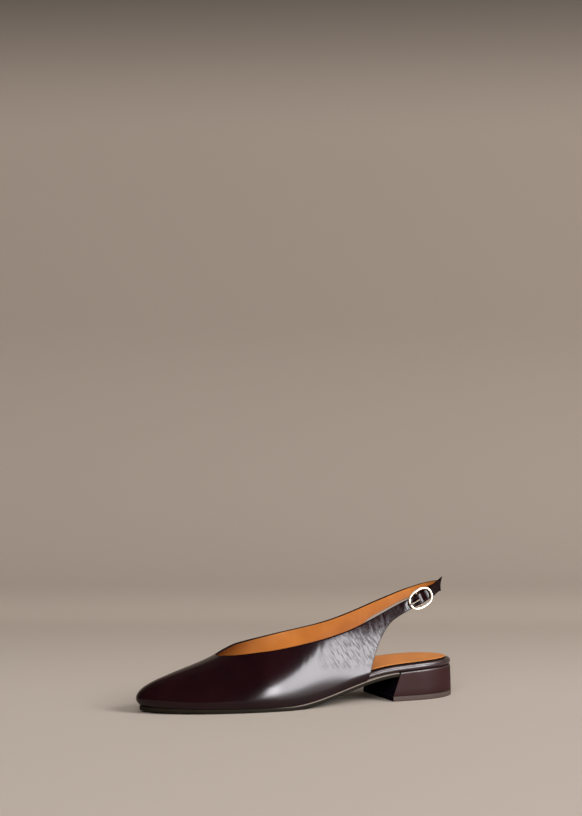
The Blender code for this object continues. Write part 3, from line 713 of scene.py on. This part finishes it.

# creases: side (-1 outer, 1 inner), along, height, lean in degrees from upright,
# half length, half width, depth of the trough
creaseRidge = 1.3
creases = (
    (-1, 113.0, 39.0, 18.0, 7.0, 2.4, 0.01),
    (-1, 119.5, 41.0, 6.0, 8.0, 2.0, 0.015),
    (-1, 126.0, 38.5, 12.0, 10.0, 2.3, 0.02),
    (-1, 130.5, 44.0, -4.0, 7.0, 1.7, 0.025),
    (-1, 138.0, 41.5, 14.0, 9.0, 2.4, 0.05),
    (-1, 147.5, 45.0, -16.0, 7.0, 2.0, 0.05),
    (-1, 154.0, 40.0, -28.0, 9.0, 2.6, 0.06),
    (-1, 163.0, 48.0, -22.0, 8.0, 2.2, 0.06),
    (-1, 171.5, 43.0, -34.0, 9.0, 2.4, 0.07),
    (-1, 179.0, 54.0, -26.0, 7.0, 2.1, 0.07),
    (-1, 187.0, 58.5, -18.0, 6.0, 1.9, 0.07),
    (-1, 197.5, 66.0, -10.0, 5.0, 1.8, 0.07),
    (1, 120.0, 40.0, 8.0, 11.0, 2.2, 0.06),
    (1, 131.0, 43.0, 12.0, 10.0, 2.2, 0.07),
    (1, 141.0, 44.0, -6.0, 9.0, 2.3, 0.06),
    (1, 155.0, 46.0, -20.0, 9.0, 2.4, 0.07),
    (1, 167.0, 50.0, -28.0, 8.0, 2.4, 0.06),
    (1, 182.0, 55.0, -24.0, 7.0, 2.2, 0.07),
    (1, 195.0, 63.0, -14.0, 6.0, 2.0, 0.07),
)


def buckleMatrix():
    # x back along the strap, y in towards the foot, z up across it
    turn = Matrix.Rotation(math.radians(buckle["turn"]), 4, "Z")
    tilt = Matrix.Rotation(-math.radians(buckle["tilt"]), 4, "Y")
    lean = Matrix.Rotation(-math.radians(buckle["lean"]), 4, "X")
    return Matrix.Translation(Vector(buckle["at"])) @ turn @ tilt @ lean


def bucklePoint(reach, stand, across):
    return np.array(buckleMatrix() @ Vector((reach, -stand, across)))


def strapPair(reach, stand, shift, lean=0.0):
    half = upper["strapWidth"] / 2.0
    return np.concatenate((bucklePoint(reach, stand - lean, shift - half),
                           bucklePoint(reach, stand + lean, shift + half)))


def sideStations():
    # closest where the throat opens and where the back edge climbs
    front = np.linspace(0.0, throatStation, upper["frontColumns"])
    backStart = stationAt(rearEdge[0][0])
    opened = np.linspace(0.0, 1.0, upper["sideColumns"])[1:] ** upper["sideCrowding"]
    side = throatStation + (backStart - throatStation) * opened
    climb = np.linspace(rearEdge[0][0], rearEdge[-1][0], upper["backColumns"])[1:]
    return np.concatenate((front, side, [stationAt(along) for along in climb]))


def wallColumn(station):
    low, top = lowShare(station), topShare(station)
    start, length = upper["evenFrom"]
    level = smoothShare((plan(station)[0] - start) / length)
    crowding = upper["rowCrowding"] + (1.0 - upper["rowCrowding"]) * level
    rise = np.linspace(0.0, 1.0, upper["rows"] + 1) ** crowding
    return section(station, low + (top - low) * rise)


def leadIn(sign):
    columns = [wallColumn(sign * stationAt(along)) for along in upper["leadAlongs"]]
    return [np.concatenate((column[0], column[-1])) for column in columns]


def strapRun(pairs, firstPair):
    # columns along a strap, with the number of the pair that each has reached
    rows = np.array(pairs)
    middles = (rows[:, :3] + rows[:, 3:]) / 2.0
    knots = runAlong(middles)
    curve = smoothCurve(knots, rows)
    count = int((knots[-1] - knots[firstPair]) / upper["strapStep"])
    reached = np.linspace(knots[firstPair], knots[-1], count + 1)[1:]
    columns = [np.linspace(curve(at)[:3], curve(at)[3:], upper["rows"] + 1) for at in reached]
    return columns, np.interp(reached, knots, np.arange(len(knots)))


def notched(columns):
    # hollow end of the billet
    hollow = 1.0 - np.linspace(-1.0, 1.0, upper["rows"] + 1) ** 2
    ahead = bucklePoint(-billetNotch["depth"], 0.0, 0.0) - bucklePoint(0.0, 0.0, 0.0)
    for step in range(billetNotch["columns"]):
        fade = (1.0 - step / billetNotch["columns"]) ** 2
        columns[-1 - step] = columns[-1 - step] + fade * np.outer(hollow, ahead)
    return columns


def makeSheetPoints():
    stations = sideStations()
    outerWall = [wallColumn(station) for station in stations]
    innerWall = [wallColumn(-station) for station in stations]
    lead = len(upper["leadAlongs"])
    billetPairs = leadIn(1.0) + [strapPair(*row) for row in billet]
    billetPairs.append(np.concatenate([bucklePoint(*corner) for corner in billetEnd]))
    billetColumns = notched(strapRun(billetPairs, lead - 1)[0])
    turned = []
    for step in range(slingTurn["steps"] + 1):
        angle = math.pi * step / slingTurn["steps"]
        turned.append((-slingTurn["radius"] * math.sin(angle),
                       buckle["barDepth"] + slingTurn["radius"] * math.cos(angle), 0.0))
    buckled = list(slingIn) + turned + list(slingOut)
    slingPairs = leadIn(-1.0)
    slingPairs += [np.array((along, side + lean, lower, along, side - lean, top))
                   for along, side, lower, top, lean in sling]
    firstBuckled = len(slingPairs)
    slingPairs += [strapPair(*row) for row in buckled]
    slingColumns, slingNumbers = strapRun(slingPairs, lead - 1)
    slotted = [firstBuckled + index for index, row in enumerate(buckled) if row[0] < upper["slotReach"]]
    slot = [slotted[0] <= number <= slotted[-1] for number in slingNumbers]
    columns = slingColumns[::-1] + innerWall[::-1] + outerWall[1:] + billetColumns
    info = {
        "toe": len(slingColumns) + len(innerWall) - 1,
        "front": upper["frontColumns"] - 1,
        "outerEnd": len(slingColumns) + 2 * len(innerWall) - 2,
        "innerEnd": len(slingColumns),
        "slot": slot[::-1] + [False] * (len(columns) - len(slot)),
    }
    return np.array(columns), info


def sheetNormals(points, info):
    normals = np.cross(np.gradient(points, axis=0), np.gradient(points, axis=1))
    toe = info["toe"]
    normals[toe, -1] = normals[toe, -2]         # the sides meet in one point there
    normals /= np.linalg.norm(normals, axis=2)[:, :, None]
    for step in range(info["front"] + 1):       # both sides share the crest ahead of the throat
        shared = normals[toe - step, -1] + normals[toe + step, -1]
        shared /= np.linalg.norm(shared)
        normals[toe - step, -1] = normals[toe + step, -1] = shared
    return normals


def creaseHeight(points, info):
    # soft troughs, each with a low ridge on either side
    height = np.zeros(points.shape[:2])
    side = np.where(np.arange(len(points)) < info["toe"], 1, -1)[:, None]
    for sign, along, up, lean, length, width, depth in creases:
        turn = math.radians(lean)
        ahead, above = points[:, :, 0] - along, points[:, :, 2] - up
        across = (ahead * math.cos(turn) - above * math.sin(turn)) / width
        run = (ahead * math.sin(turn) + above * math.cos(turn)) / length
        trough = (1.0 - creaseRidge * across ** 2) * np.exp(-across ** 2 - run ** 2)
        height -= depth * trough * (side == sign)
    return height


def cutHole(bm, centre, radius):
    inside = [face for face in bm.faces if (face.calc_center_median() - centre).length < radius]
    bmesh.ops.delete(bm, geom=inside, context="FACES")
    for vert in bm.verts:
        away = vert.co - centre
        if vert.is_boundary and away.length < upper["holePull"] * radius:
            vert.co = centre + away.normalized() * radius


def cutLower(column):
    return column[0, 2] > seat(column[0, 0]) + upper["raised"]


def edgePaintAndHoleShade(points, info):
    # 1 at the cut edges of the quarters and straps, fading within a millimetre
    run = np.array([runAlong(column) for column in points])
    near = np.exp(-(run / upper["edgeFade"]) ** 2)
    lower = np.array([cutLower(column) for column in points])
    top = np.exp(-((run[:, -1:] - run) / upper["topFade"]) ** 2)
    opened = np.abs(np.arange(len(points)) - info["toe"]) > info["front"]
    return near * lower[:, None] + top * opened[:, None]


def billetMiddle(points, info):
    return points[info["outerEnd"] - upper["billetLead"]:, upper["rows"] // 2]


def holeCentre(points, info):
    middle = billetMiddle(points, info)
    return middle[np.argmin(np.abs(middle[:, 0] - upper["holeAlong"]))]


def holeShadeNear(points, info):
    # 1 behind the billet's hole, where the lining gets painted shade so the hole looks dark
    away = np.linalg.norm(points - holeCentre(points, info), axis=2)
    return np.exp(-(away / upper["holeShade"]) ** 4)


def makeShell(points, info, inset, marks):
    # a sheet of the upper, with the sling's slot and the prong's hole
    laid = points - inset * sheetNormals(points, info)
    bm = sheetFrom(laid, "edgePaintAndHoleShade", marks)
    half = upper["slotShare"] * upper["rows"]
    middle = upper["rows"] / 2.0
    columns = len(points) - 1
    slotted = []
    for index, face in enumerate(bm.faces):
        column, row = index % columns, index // columns
        if info["slot"][column] and info["slot"][column + 1] and abs(row + 0.5 - middle) < half:
            slotted.append(face)
    bmesh.ops.delete(bm, geom=slotted, context="FACES")
    line = billetMiddle(laid, info)
    away = np.linalg.norm(line - bucklePoint(*upper["prongHole"]), axis=1)
    cutHole(bm, place(line[np.argmin(away)]), upper["prongHoleRadius"] * mm)
    bmesh.ops.remove_doubles(bm, verts=bm.verts, dist=upper["merge"])
    return bm


sheetPoints, sheetInfo = makeSheetPoints()
creased = creaseHeight(sheetPoints, sheetInfo)[:, :, None]
sheetPoints = sheetPoints + creased * sheetNormals(sheetPoints, sheetInfo)
print("upper: %d columns of %d rows" % sheetPoints.shape[:2])

upperShell = makeShell(sheetPoints, sheetInfo, 0.0, edgePaintAndHoleShade(sheetPoints, sheetInfo))
cutHole(upperShell, place(holeCentre(sheetPoints, sheetInfo)), upper["holeRadius"] * mm)
upperPiece = addPiece("upper_leather", upperShell, upperLeather, "glossy_upper", "upper")
addWall(upperPiece, upper["leather"], upper["leatherRound"])


def liningPoints(points, info):
    # stops short of every edge but the feather line
    trimmed = np.empty_like(points)
    for number, column in enumerate(points):
        run = runAlong(column)
        closed = abs(number - info["toe"]) < info["front"]
        strap = number <= info["innerEnd"] or number >= info["outerEnd"]
        start = upper["liningTop"] if strap or cutLower(column) else 0.0
        stop = run[-1] - (0.0 if closed else upper["liningTop"])
        at = start + (stop - start) * run / run[-1]
        for axis in range(3):
            trimmed[number, :, axis] = np.interp(at, run, column[:, axis])
    return trimmed


liningSheet = liningPoints(sheetPoints, sheetInfo)
liningInset = upper["leather"] + upper["liningGap"]
# the lining's marks are painted shade behind the billet's hole
liningShell = makeShell(liningSheet, sheetInfo, liningInset, holeShadeNear(liningSheet, sheetInfo))
liningPiece = addPiece("lining", liningShell, liningLeather, "tan_leather")
addWall(liningPiece, upper["lining"], upper["liningRound"])
print("lining done")


# Sole, board, sock and heel: rings across, from the toe back

board = {
    "front": 2.2, "seat": 5.0, "edge": 2.2,
    "swell": (140.0, 190.0),
    "half": 27.9,
    "blend": (174.0, 188.0),
    "seatStart": 189.0, "seatRound": 220.0, "straightSteps": 48,
    "endFullness": 2.3, "sideFullness": 2.1,
    "steps": 110, "lastAngle": 89.6,
    "edgeSteps": 14,
    "sock": 1.0, "sockFront": 0.5, "sockSeat": 3.8,
    "sockFlat": 0.8,         # faces turned further from level get painted shade in the cut edge's colour
    "sockProfile": ((0.0, 0.0), (0.55, 0.0), (0.85, 0.12), (1.0, 0.4)),
}
heel = {
    "tip": 4.0, "footFront": 203.0, "topFront": 210.0, "footHalf": 28.6, "lean": 0.6,
    "blockProfile": ((0.0, 0.15), (0.02, 0.0), (0.3, 0.0), (0.6, 0.0), (0.9, 0.0), (0.945, 0.06),
                     (0.97, 0.2), (0.985, 0.42), (0.996, 0.8), (1.0, 1.2)),
    "tipProfile": ((0.0, 0.5), (0.04, 0.25), (0.12, 0.06), (0.25, 0.0), (0.9, 0.0), (1.0, 0.12)),
    "blockRound": 0.5, "tipRound": 0.3,
    "breastFacing": -0.8,    # faces that look further ahead than this get the near-black breast colour, partly painted shade
    "foldFacing": (0.15, 0.97),
}
slabSpans = 12


def makeSlab(profile, level, bottom, thickness):
    # the profile's shares of the thickness run from the bottom up, each with its inset, and level gives
    # the outer and inner plan points there
    shares = [share for share, inset in profile]
    levels = [level(share, inset) for share, inset in profile]
    rings, marks = [], []
    across = np.linspace(0.0, 1.0, slabSpans + 1)
    for stop in range(len(levels[0][0])):
        ends = [(outer[stop], inner[stop]) for outer, inner in levels]
        spots = [(ends[0][0] + (ends[0][1] - ends[0][0]) * step, shares[0]) for step in across]
        spots += [(inner, share) for (outer, inner), share in zip(ends[1:-1], shares[1:-1])]
        spots += [(ends[-1][1] + (ends[-1][0] - ends[-1][1]) * step, shares[-1]) for step in across]
        spots += [(outer, share) for (outer, inner), share in zip(ends[-2:0:-1], shares[-2:0:-1])]
        spots.append(spots[0])
        rings.append([(*spot, bottom(spot[0]) + share * thickness(spot[0])) for spot, share in spots])
        marks.append([share for spot, share in spots])
    bm = sheetFrom(np.array(rings), "share", np.array(marks))
    closeUp(bm)
    return bm


def slabStations(lastAlong):
    end = stationAt(lastAlong)
    near = np.linspace(sole["tipStation"], sole["nearEnd"], sole["nearSteps"])
    return np.concatenate((near, np.linspace(sole["nearEnd"], end, int(end / sole["step"]))[1:]))


def soleLevel(share, inset):
    stations = slabStations(sole["end"])
    return [[outline(sign * station, inset) for station in stations] for sign in (1.0, -1.0)]


def seatHalf(inset, front, half, back):
    straight = np.linspace(front, board["seatRound"], board["straightSteps"])
    points = [(along, half - inset) for along in straight]
    for step in range(1, board["steps"] + 1):
        angle = math.radians(board["lastAngle"]) * step / board["steps"]
        reach = (back - inset - board["seatRound"]) * math.sin(angle) ** (2.0 / board["endFullness"])
        side = (half - inset) * math.cos(angle) ** (2.0 / board["sideFullness"])
        points.append((board["seatRound"] + reach, side))
    return points


def bothSides(points):
    return [np.array((along, -half)) for along, half in points], [np.array(point) for point in points]


def boardHalf(station, inset):
    along, side = outline(station, last["lip"] + last["wall"] + last["gap"] + inset)
    blend = smoothShare((along - board["blend"][0]) / (board["blend"][1] - board["blend"][0]))
    return np.array((along, side + (math.copysign(board["half"] - inset, side) - side) * blend))


def boardLevel(share, inset):
    # the inset changes along the board
    outer, inner = [], []
    for station in slabStations(board["blend"][1]):
        along = plan(station)[0]
        outer.append(boardHalf(station, inset(along)))
        inner.append(boardHalf(-station, inset(along)))
    ends = seatHalf(inset(last["length"]), board["seatStart"], board["half"], last["length"] - heel["lean"])
    outerEnd, innerEnd = bothSides(ends)
    return outer + outerEnd, inner + innerEnd


def seatShare(along):
    return smoothShare((along - board["swell"][0]) / (board["swell"][1] - board["swell"][0]))


def boardThickness(along):
    return board["front"] + (board["seat"] - board["front"]) * seatShare(along)


def roundEdge(share):
    depth = 1.0 - math.sqrt(max(0.0, 1.0 - (2.0 * share - 1.0) ** 2))
    return lambda along: depth * board["edge"] * boardThickness(along) / board["seat"]


def heelLevel(share, inset):
    front = heel["footFront"] + (heel["topFront"] - heel["footFront"]) * share + inset
    half = heel["footHalf"] + (board["half"] - heel["footHalf"]) * share
    return bothSides(seatHalf(inset, front, half, last["length"] - heel["lean"] * share))


def makeSole():
    bm = makeSlab(sole["profile"], soleLevel, tread, lambda along: sole["thickness"])
    addPiece("sole", bm, soleEdge, "sole_edge", "outsole")


def makeBoard():
    steps = board["edgeSteps"]
    shares = [0.5 - 0.5 * math.cos(math.pi * step / steps) for step in range(steps + 1)]
    bm = makeSlab([(share, roundEdge(share)) for share in shares], boardLevel, seat, boardThickness)
    addPiece("wrapped_board", bm, rimLeather, "wrapped_rim", "insole_board")


def makeSock():
    def level(share, inset):
        setIn = board["sockSeat"] - board["sockFront"]
        return boardLevel(share, lambda along: inset + board["sockFront"] + setIn * seatShare(along))

    def bottom(along):
        return seat(along) + boardThickness(along) + last["gap"]

    bm = makeSlab(board["sockProfile"], level, bottom, lambda along: board["sock"])
    # painted shade: the sock's edge, where it meets the board, takes the dark cut-edge colour
    paintFaces(bm, 1, lambda normal: normal.z < board["sockFlat"])
    sock = addPiece("sock", bm, tanLeather, "tan_leather", "insole_sock")
    sock.data.materials.append(cutEdgeAndShade)


def makeHeel():
    def ahead(normal):
        return normal.x < heel["breastFacing"]

    foot = heel["tip"] + last["gap"]
    foldLow, foldHigh = heel["foldFacing"]
    bm = makeSlab(heel["blockProfile"], heelLevel, lambda along: foot,
                  lambda along: seat(along) - last["gap"] - foot)
    paintFaces(bm, 2, lambda normal: foldLow < normal.z < foldHigh)     # polished fold under the rim
    # the breast: black cover, with painted shade
    paintFaces(bm, 1, ahead)
    block = addPiece("heel", bm, heelLeather, "wrapped_heel", "heel_block")
    block.data.materials.append(breastAndShadeLeather)
    block.data.materials.append(rimLeather)
    addRounding(block, heel["blockRound"], meshing["blockAngle"])
    bm = makeSlab(heel["tipProfile"], lambda share, inset: heelLevel(0.0, inset), lambda along: 0.0,
                  lambda along: heel["tip"])
    # painted shade: the top piece's front face takes the near-black breast colour
    paintFaces(bm, 1, ahead)
    tip = addPiece("heel_top_piece", bm, tipRubber, "tip_rubber", "heel_tip")
    tip.data.materials.append(breastAndShadeLeather)
    addRounding(tip, heel["tipRound"], meshing["blockAngle"])


makeSole()
makeBoard()
makeSock()
makeHeel()
print("sole, board, sock and heel done")


# Buckle

def makeWire(route, radius, normal, closed):
    # round wire along a route in the buckle's frame
    points = np.array(route)
    if closed:
        runs = np.roll(points, -1, axis=0) - np.roll(points, 1, axis=0)
    else:
        runs = np.gradient(points, axis=0)
    runs /= np.linalg.norm(runs, axis=1)[:, None]
    sides = np.cross(runs, normal)
    sides /= np.linalg.norm(sides, axis=1)[:, None]
    rises = np.cross(runs, sides)
    turns = np.linspace(0.0, 2.0 * math.pi, buckle["wireSides"] + 1)[:, None]
    rings = []
    for point, side, rise in zip(points, sides, rises):
        ring = point + radius * (np.cos(turns) * side + np.sin(turns) * rise)
        rings.append([np.array(buckleMatrix() @ Vector(corner)) for corner in ring])
    if closed:
        rings.append(rings[0])
    bm = sheetFrom(np.array(rings))
    closeUp(bm)
    return bm


def ringRoute():
    power = 2.0 / buckle["squareness"]
    route = []
    for angle in np.linspace(0.0, 2.0 * math.pi, buckle["ringPoints"], endpoint=False):
        cosine, sine = math.cos(angle), math.sin(angle)
        reach = math.copysign(abs(cosine) ** power, cosine) * buckle["halfLength"]
        across = math.copysign(abs(sine) ** power, sine) * buckle["halfHeight"]
        route.append((reach, -buckle["lift"], across))
    return route


def quarterTurn():
    # how far each step of a bend has come forward and across, as shares of its radius
    angles = np.linspace(0.0, math.pi / 2.0, buckle["bendSteps"] + 1)
    return [(1.0 - math.cos(angle), 1.0 - math.sin(angle)) for angle in angles]


def barRoute():
    # from the ring back behind the strap, across, and forward to the ring's other side
    bend = buckle["barBend"]
    half = [(buckle["lift"], buckle["halfHeight"])]
    half += [(buckle["barDepth"] + bend * left, buckle["halfHeight"] - bend * gone)
             for gone, left in quarterTurn()]
    upperHalf = [(0.0, -stand, across) for stand, across in half]
    return upperHalf + [(0.0, -stand, -across) for stand, across in half[::-1]]


def prongRoute():
    hook = buckle["barRadius"] + last["gap"] + buckle["prongRadius"]
    over = buckle["lift"] + buckle["wire"] + last["gap"] + buckle["prongRadius"]
    bend = buckle["prongBend"]
    route = []
    for step in range(buckle["hookSteps"] + 1):
        angle = math.radians(buckle["hookStart"] - buckle["hookTurn"] * step / buckle["hookSteps"])
        route.append((hook * math.cos(angle), buckle["barDepth"] + hook * math.sin(angle)))
    route += [(-hook - bend * gone, over - bend * left) for gone, left in quarterTurn()]
    tip = np.linspace(route[-1][0], buckle["prongTip"], buckle["tipSteps"] + 1)[1:]
    route += [(reach, over) for reach in tip]
    return [(reach, -stand, 0.0) for reach, stand in route]


def makeBuckle():
    ring = makeWire(ringRoute(), buckle["wire"], (0.0, 1.0, 0.0), True)
    ringPiece = addPiece("buckle_ring", ring, paleMetal, "pale_metal", "buckle_frame")
    rod = makeWire(barRoute(), buckle["barRadius"], (1.0, 0.0, 0.0), False)
    bar = addPiece("buckle_bar", rod, paleMetal, "pale_metal")
    bar.display_type = "WIRE"
    bar.hide_render = True
    join = ringPiece.modifiers.new("bar", "BOOLEAN")
    join.operation = "UNION"
    join.solver = "EXACT"
    join.object = bar
    prong = makeWire(prongRoute(), buckle["prongRadius"], (0.0, 0.0, 1.0), False)
    prongPiece = addPiece("buckle_tongue", prong, shadedProngMetal, "pale_metal", "buckle_prong")
    addRounding(prongPiece, buckle["prongRound"], meshing["blockAngle"])


makeBuckle()
print("buckle done")


# Stitches along the quarters' back edges and the straps' lower edges

stitch = {
    "in": 1.3, "pitch": 2.1, "length": 1.45, "radius": 0.17,
    "rise": 0.03,            # out of the leather
    "ahead": 0.2,            # the direction is taken this far on
    "wallSkip": 3, "tailSkip": 4,       # columns without stitches
    "foldedEnd": 26.0,       # the folded end of the sling has none
    "segments": 8, "rings": 6,
}


def stitchLine(bm, columns, normals):
    # capsules half sunk in the leather, a fixed distance in from the lower edge
    spots = []
    for column, facing in zip(columns, normals):
        run = runAlong(column)
        spots.append([np.interp(stitch["in"], run, values) for values in (*column.T, *facing.T)])
    spots = np.array(spots)
    run = runAlong(spots[:, :3])
    halves = (stitch["length"] / 2.0, stitch["radius"], stitch["radius"])
    size = Matrix.Diagonal([half * mm for half in halves]).to_4x4()
    for at in np.arange(stitch["pitch"], run[-1] - stitch["pitch"], stitch["pitch"]):
        here, ahead = (np.array([np.interp(where, run, values) for values in spots.T])
                       for where in (at, at + stitch["ahead"]))
        facing = Vector(here[3:]).normalized()
        along = Vector(ahead[:3] - here[:3]).normalized()
        side = facing.cross(along).normalized()
        turn = Matrix((along, side, along.cross(side))).transposed().to_4x4()
        made = Matrix.Translation(place(here[:3] + stitch["rise"] * here[3:])) @ turn @ size
        bmesh.ops.create_uvsphere(bm, u_segments=stitch["segments"], v_segments=stitch["rings"], radius=1.0,
                                  matrix=made)


def makeStitches():
    normals = sheetNormals(sheetPoints, sheetInfo)
    wall = upper["backColumns"] - stitch["wallSkip"]
    outer = slice(sheetInfo["outerEnd"] - wall, len(sheetPoints) - stitch["tailSkip"])
    turnEnd = int(stitch["foldedEnd"] / upper["strapStep"])
    inner = slice(sheetInfo["innerEnd"] + wall, turnEnd, -1)
    bm = bmesh.new()
    stitchLine(bm, sheetPoints[outer], normals[outer])
    stitchLine(bm, sheetPoints[inner], normals[inner])
    addPiece("stitches", bm, seamThread, "glossy_upper")


makeStitches()
print("stitches done")


# Floor with a soft sweep, lights and camera

studio = {
    "camera": (-0.7165, -1.6828, 0.2948),
    "look": (0.38876, 0.92069, -0.03452),
    "lens": 103.19,
    "sensor": 36.0,
    "sweepAt": 2.30,         # metres from the camera to where the floor turns up
    "sweepRadius": 0.30,
    "sweepSteps": 24,
    "floorBehind": 3.0,
    "height": 2.6,
    "halfWidth": 3.0,
    "floorColour": (0.485, 0.418, 0.357),
    # painted shade: the floor darkens towards the sweep, and the wall towards the top
    "shadedFarFloorColour": (0.365, 0.308, 0.255),
    "farShadeFrom": (1.84, 2.42),             # metres from the camera
    "wallColour": (0.272, 0.227, 0.186),
    "wallFrom": (0.0, 0.03),            # metres above the floor
    "topShade": 0.25,
    "topFrom": (0.50, 0.71),
    "world": 0.06,
    "worldTint": (1.0, 0.96, 0.92),
    "seenWorld": (0.30, 0.26, 0.22),
}
stripLight = {"face": (-1.0, 0.0, 0.0), "colour": (0.98, 0.965, 1.0), "diffuse": False, "glossy": True}
boxLight = {"colour": (1.0, 0.985, 0.99), "diffuse": True, "glossy": False}
softLights = (
    {**stripLight, "name": "strip", "at": (1.9, -5.9, 0.54), "size": (8.0, 0.9), "power": 590.0},
    {**stripLight, "name": "lowStrip", "at": (1.9, -5.9, 0.20), "size": (8.0, 0.34), "power": 245.0},
    {**stripLight, "name": "stripEnd", "at": (1.45, -5.82, 0.36), "face": (-1.45, 5.82, 0.0),
     "size": (0.74, 0.72), "power": 30.0},
    {**boxLight, "name": "softbox", "at": (3.48, -3.86, 3.0), "face": (-3.48, 3.86, -3.0),
     "size": (3.0, 2.4), "power": 340.0},
    {**boxLight, "name": "fill", "at": (-3.3, -5.9, 4.1), "face": (3.3, 5.9, -4.1),
     "size": (5.0, 5.0), "power": 390.0},
    {**boxLight, "name": "overhead", "at": (0.2, -0.4, 4.0), "face": (0.0, 0.0, -1.0),
     "size": (3.0, 3.0), "power": 22.0},
    {**boxLight, "name": "edge", "at": (1.33, -1.11, 2.07), "face": (-1.33, 1.11, -2.07),
     "size": (1.7, 1.7), "power": 110.0, "diffuse": False, "glossy": True},
)
lookAhead = Vector((studio["look"][0], studio["look"][1], 0.0)).normalized()


def makeSweep():
    right = Vector((lookAhead.y, -lookAhead.x, 0.0))
    start = Vector((studio["camera"][0], studio["camera"][1], 0.0))
    radius = studio["sweepRadius"]
    profile = [(away, 0.0) for away in (-studio["floorBehind"], 0.0, studio["sweepAt"])]
    for step in range(1, studio["sweepSteps"] + 1):
        angle = math.pi / 2.0 * step / studio["sweepSteps"]
        profile.append((studio["sweepAt"] + radius * math.sin(angle), radius * (1.0 - math.cos(angle))))
    profile.append((studio["sweepAt"] + radius, studio["height"]))
    bm = bmesh.new()
    made = bmesh.ops.create_grid(bm, x_segments=1, y_segments=len(profile) - 1, size=1.0)
    for vert in made["verts"]:
        away, up = profile[round((vert.co.y + 1.0) / 2.0 * (len(profile) - 1))]
        spot = start + lookAhead * away + right * (vert.co.x * studio["halfWidth"])
        vert.co = (spot.x, spot.y, up)
    mesh = bpy.data.meshes.new("studio_floor")
    bm.to_mesh(mesh)
    bm.free()
    mesh.shade_smooth()
    floor = bpy.data.objects.new("studio_floor", mesh)
    bpy.context.scene.collection.objects.link(floor)
    mesh.materials.append(makeFloorFinish())


def makeFloorFinish():
    # pale floor with painted shade that darkens it behind the shoe, and a wall with painted shade that
    # darkens it towards the top
    finish, tree, shader, spot = startMaterial("studioFloor", {"Roughness": 0.8, "Specular IOR Level": 0.2})
    height = addNode(tree, "ShaderNodeSeparateXYZ", {}, {0: spot}).outputs["Z"]
    ahead = addNode(tree, "ShaderNodeVectorMath", {"operation": "DOT_PRODUCT"}, {0: spot, 1: lookAhead})
    start = lookAhead.dot(Vector(studio["camera"]))
    far = ramp(tree, ahead.outputs["Value"], *(start + away for away in studio["farShadeFrom"]), 0.0, 1.0)
    floorTone = mixColour(tree, far, studio["floorColour"], studio["shadedFarFloorColour"])
    topShadeTone = tuple(studio["topShade"] * level for level in studio["wallColour"])
    high = ramp(tree, height, *studio["topFrom"], 0.0, 1.0)
    wallTone = mixColour(tree, high, studio["wallColour"], topShadeTone)
    turned = ramp(tree, height, *studio["wallFrom"], 0.0, 1.0)
    tree.links.new(mixColour(tree, turned, floorTone, wallTone), shader.inputs["Base Color"])
    # seen from behind, the wall lets the view through
    clear = tree.nodes.new("ShaderNodeBsdfTransparent")
    behind = tree.nodes.new("ShaderNodeNewGeometry").outputs["Backfacing"]
    looking = tree.nodes.new("ShaderNodeLightPath").outputs["Is Camera Ray"]
    seen = addNode(tree, "ShaderNodeMixShader", {}, {0: math2(tree, "MULTIPLY", behind, looking)})
    tree.links.new(shader.outputs[0], seen.inputs[1])
    tree.links.new(clear.outputs[0], seen.inputs[2])
    tree.links.new(seen.outputs[0], tree.nodes["Material Output"].inputs["Surface"])
    return finish


def makeLights():
    for values in softLights:
        data = bpy.data.lights.new(values["name"], "AREA")
        data.shape = "RECTANGLE"
        data.size, data.size_y = values["size"]
        data.energy = values["power"]
        data.color = values["colour"]
        light = bpy.data.objects.new(values["name"], data)
        light.location = values["at"]
        light.rotation_mode = "QUATERNION"
        light.rotation_quaternion = Vector(values["face"]).to_track_quat("-Z", "Y")
        light.visible_camera = False
        light.visible_diffuse = values["diffuse"]
        light.visible_glossy = values["glossy"]
        bpy.context.scene.collection.objects.link(light)


def makeWorld():
    world = bpy.data.worlds.new("studio")
    world.use_nodes = True
    bpy.context.scene.world = world
    tree = world.node_tree
    back = tree.nodes["Background"]
    looking = tree.nodes.new("ShaderNodeLightPath").outputs["Is Camera Ray"]
    dim = tuple(studio["world"] * level for level in studio["worldTint"])
    tree.links.new(mixColour(tree, looking, dim, studio["seenWorld"]), back.inputs["Color"])


def makeCamera():
    data = bpy.data.cameras.new("camera")
    data.lens = studio["lens"]
    data.sensor_width = studio["sensor"]
    camera = bpy.data.objects.new("camera", data)
    camera.location = studio["camera"]
    camera.rotation_mode = "QUATERNION"
    camera.rotation_quaternion = Vector(studio["look"]).to_track_quat("-Z", "Y")
    bpy.context.scene.collection.objects.link(camera)
    bpy.context.scene.camera = camera


makeSweep()
makeLights()
makeWorld()
makeCamera()
bpy.context.scene.view_settings.view_transform = "Standard"
print("studio done")
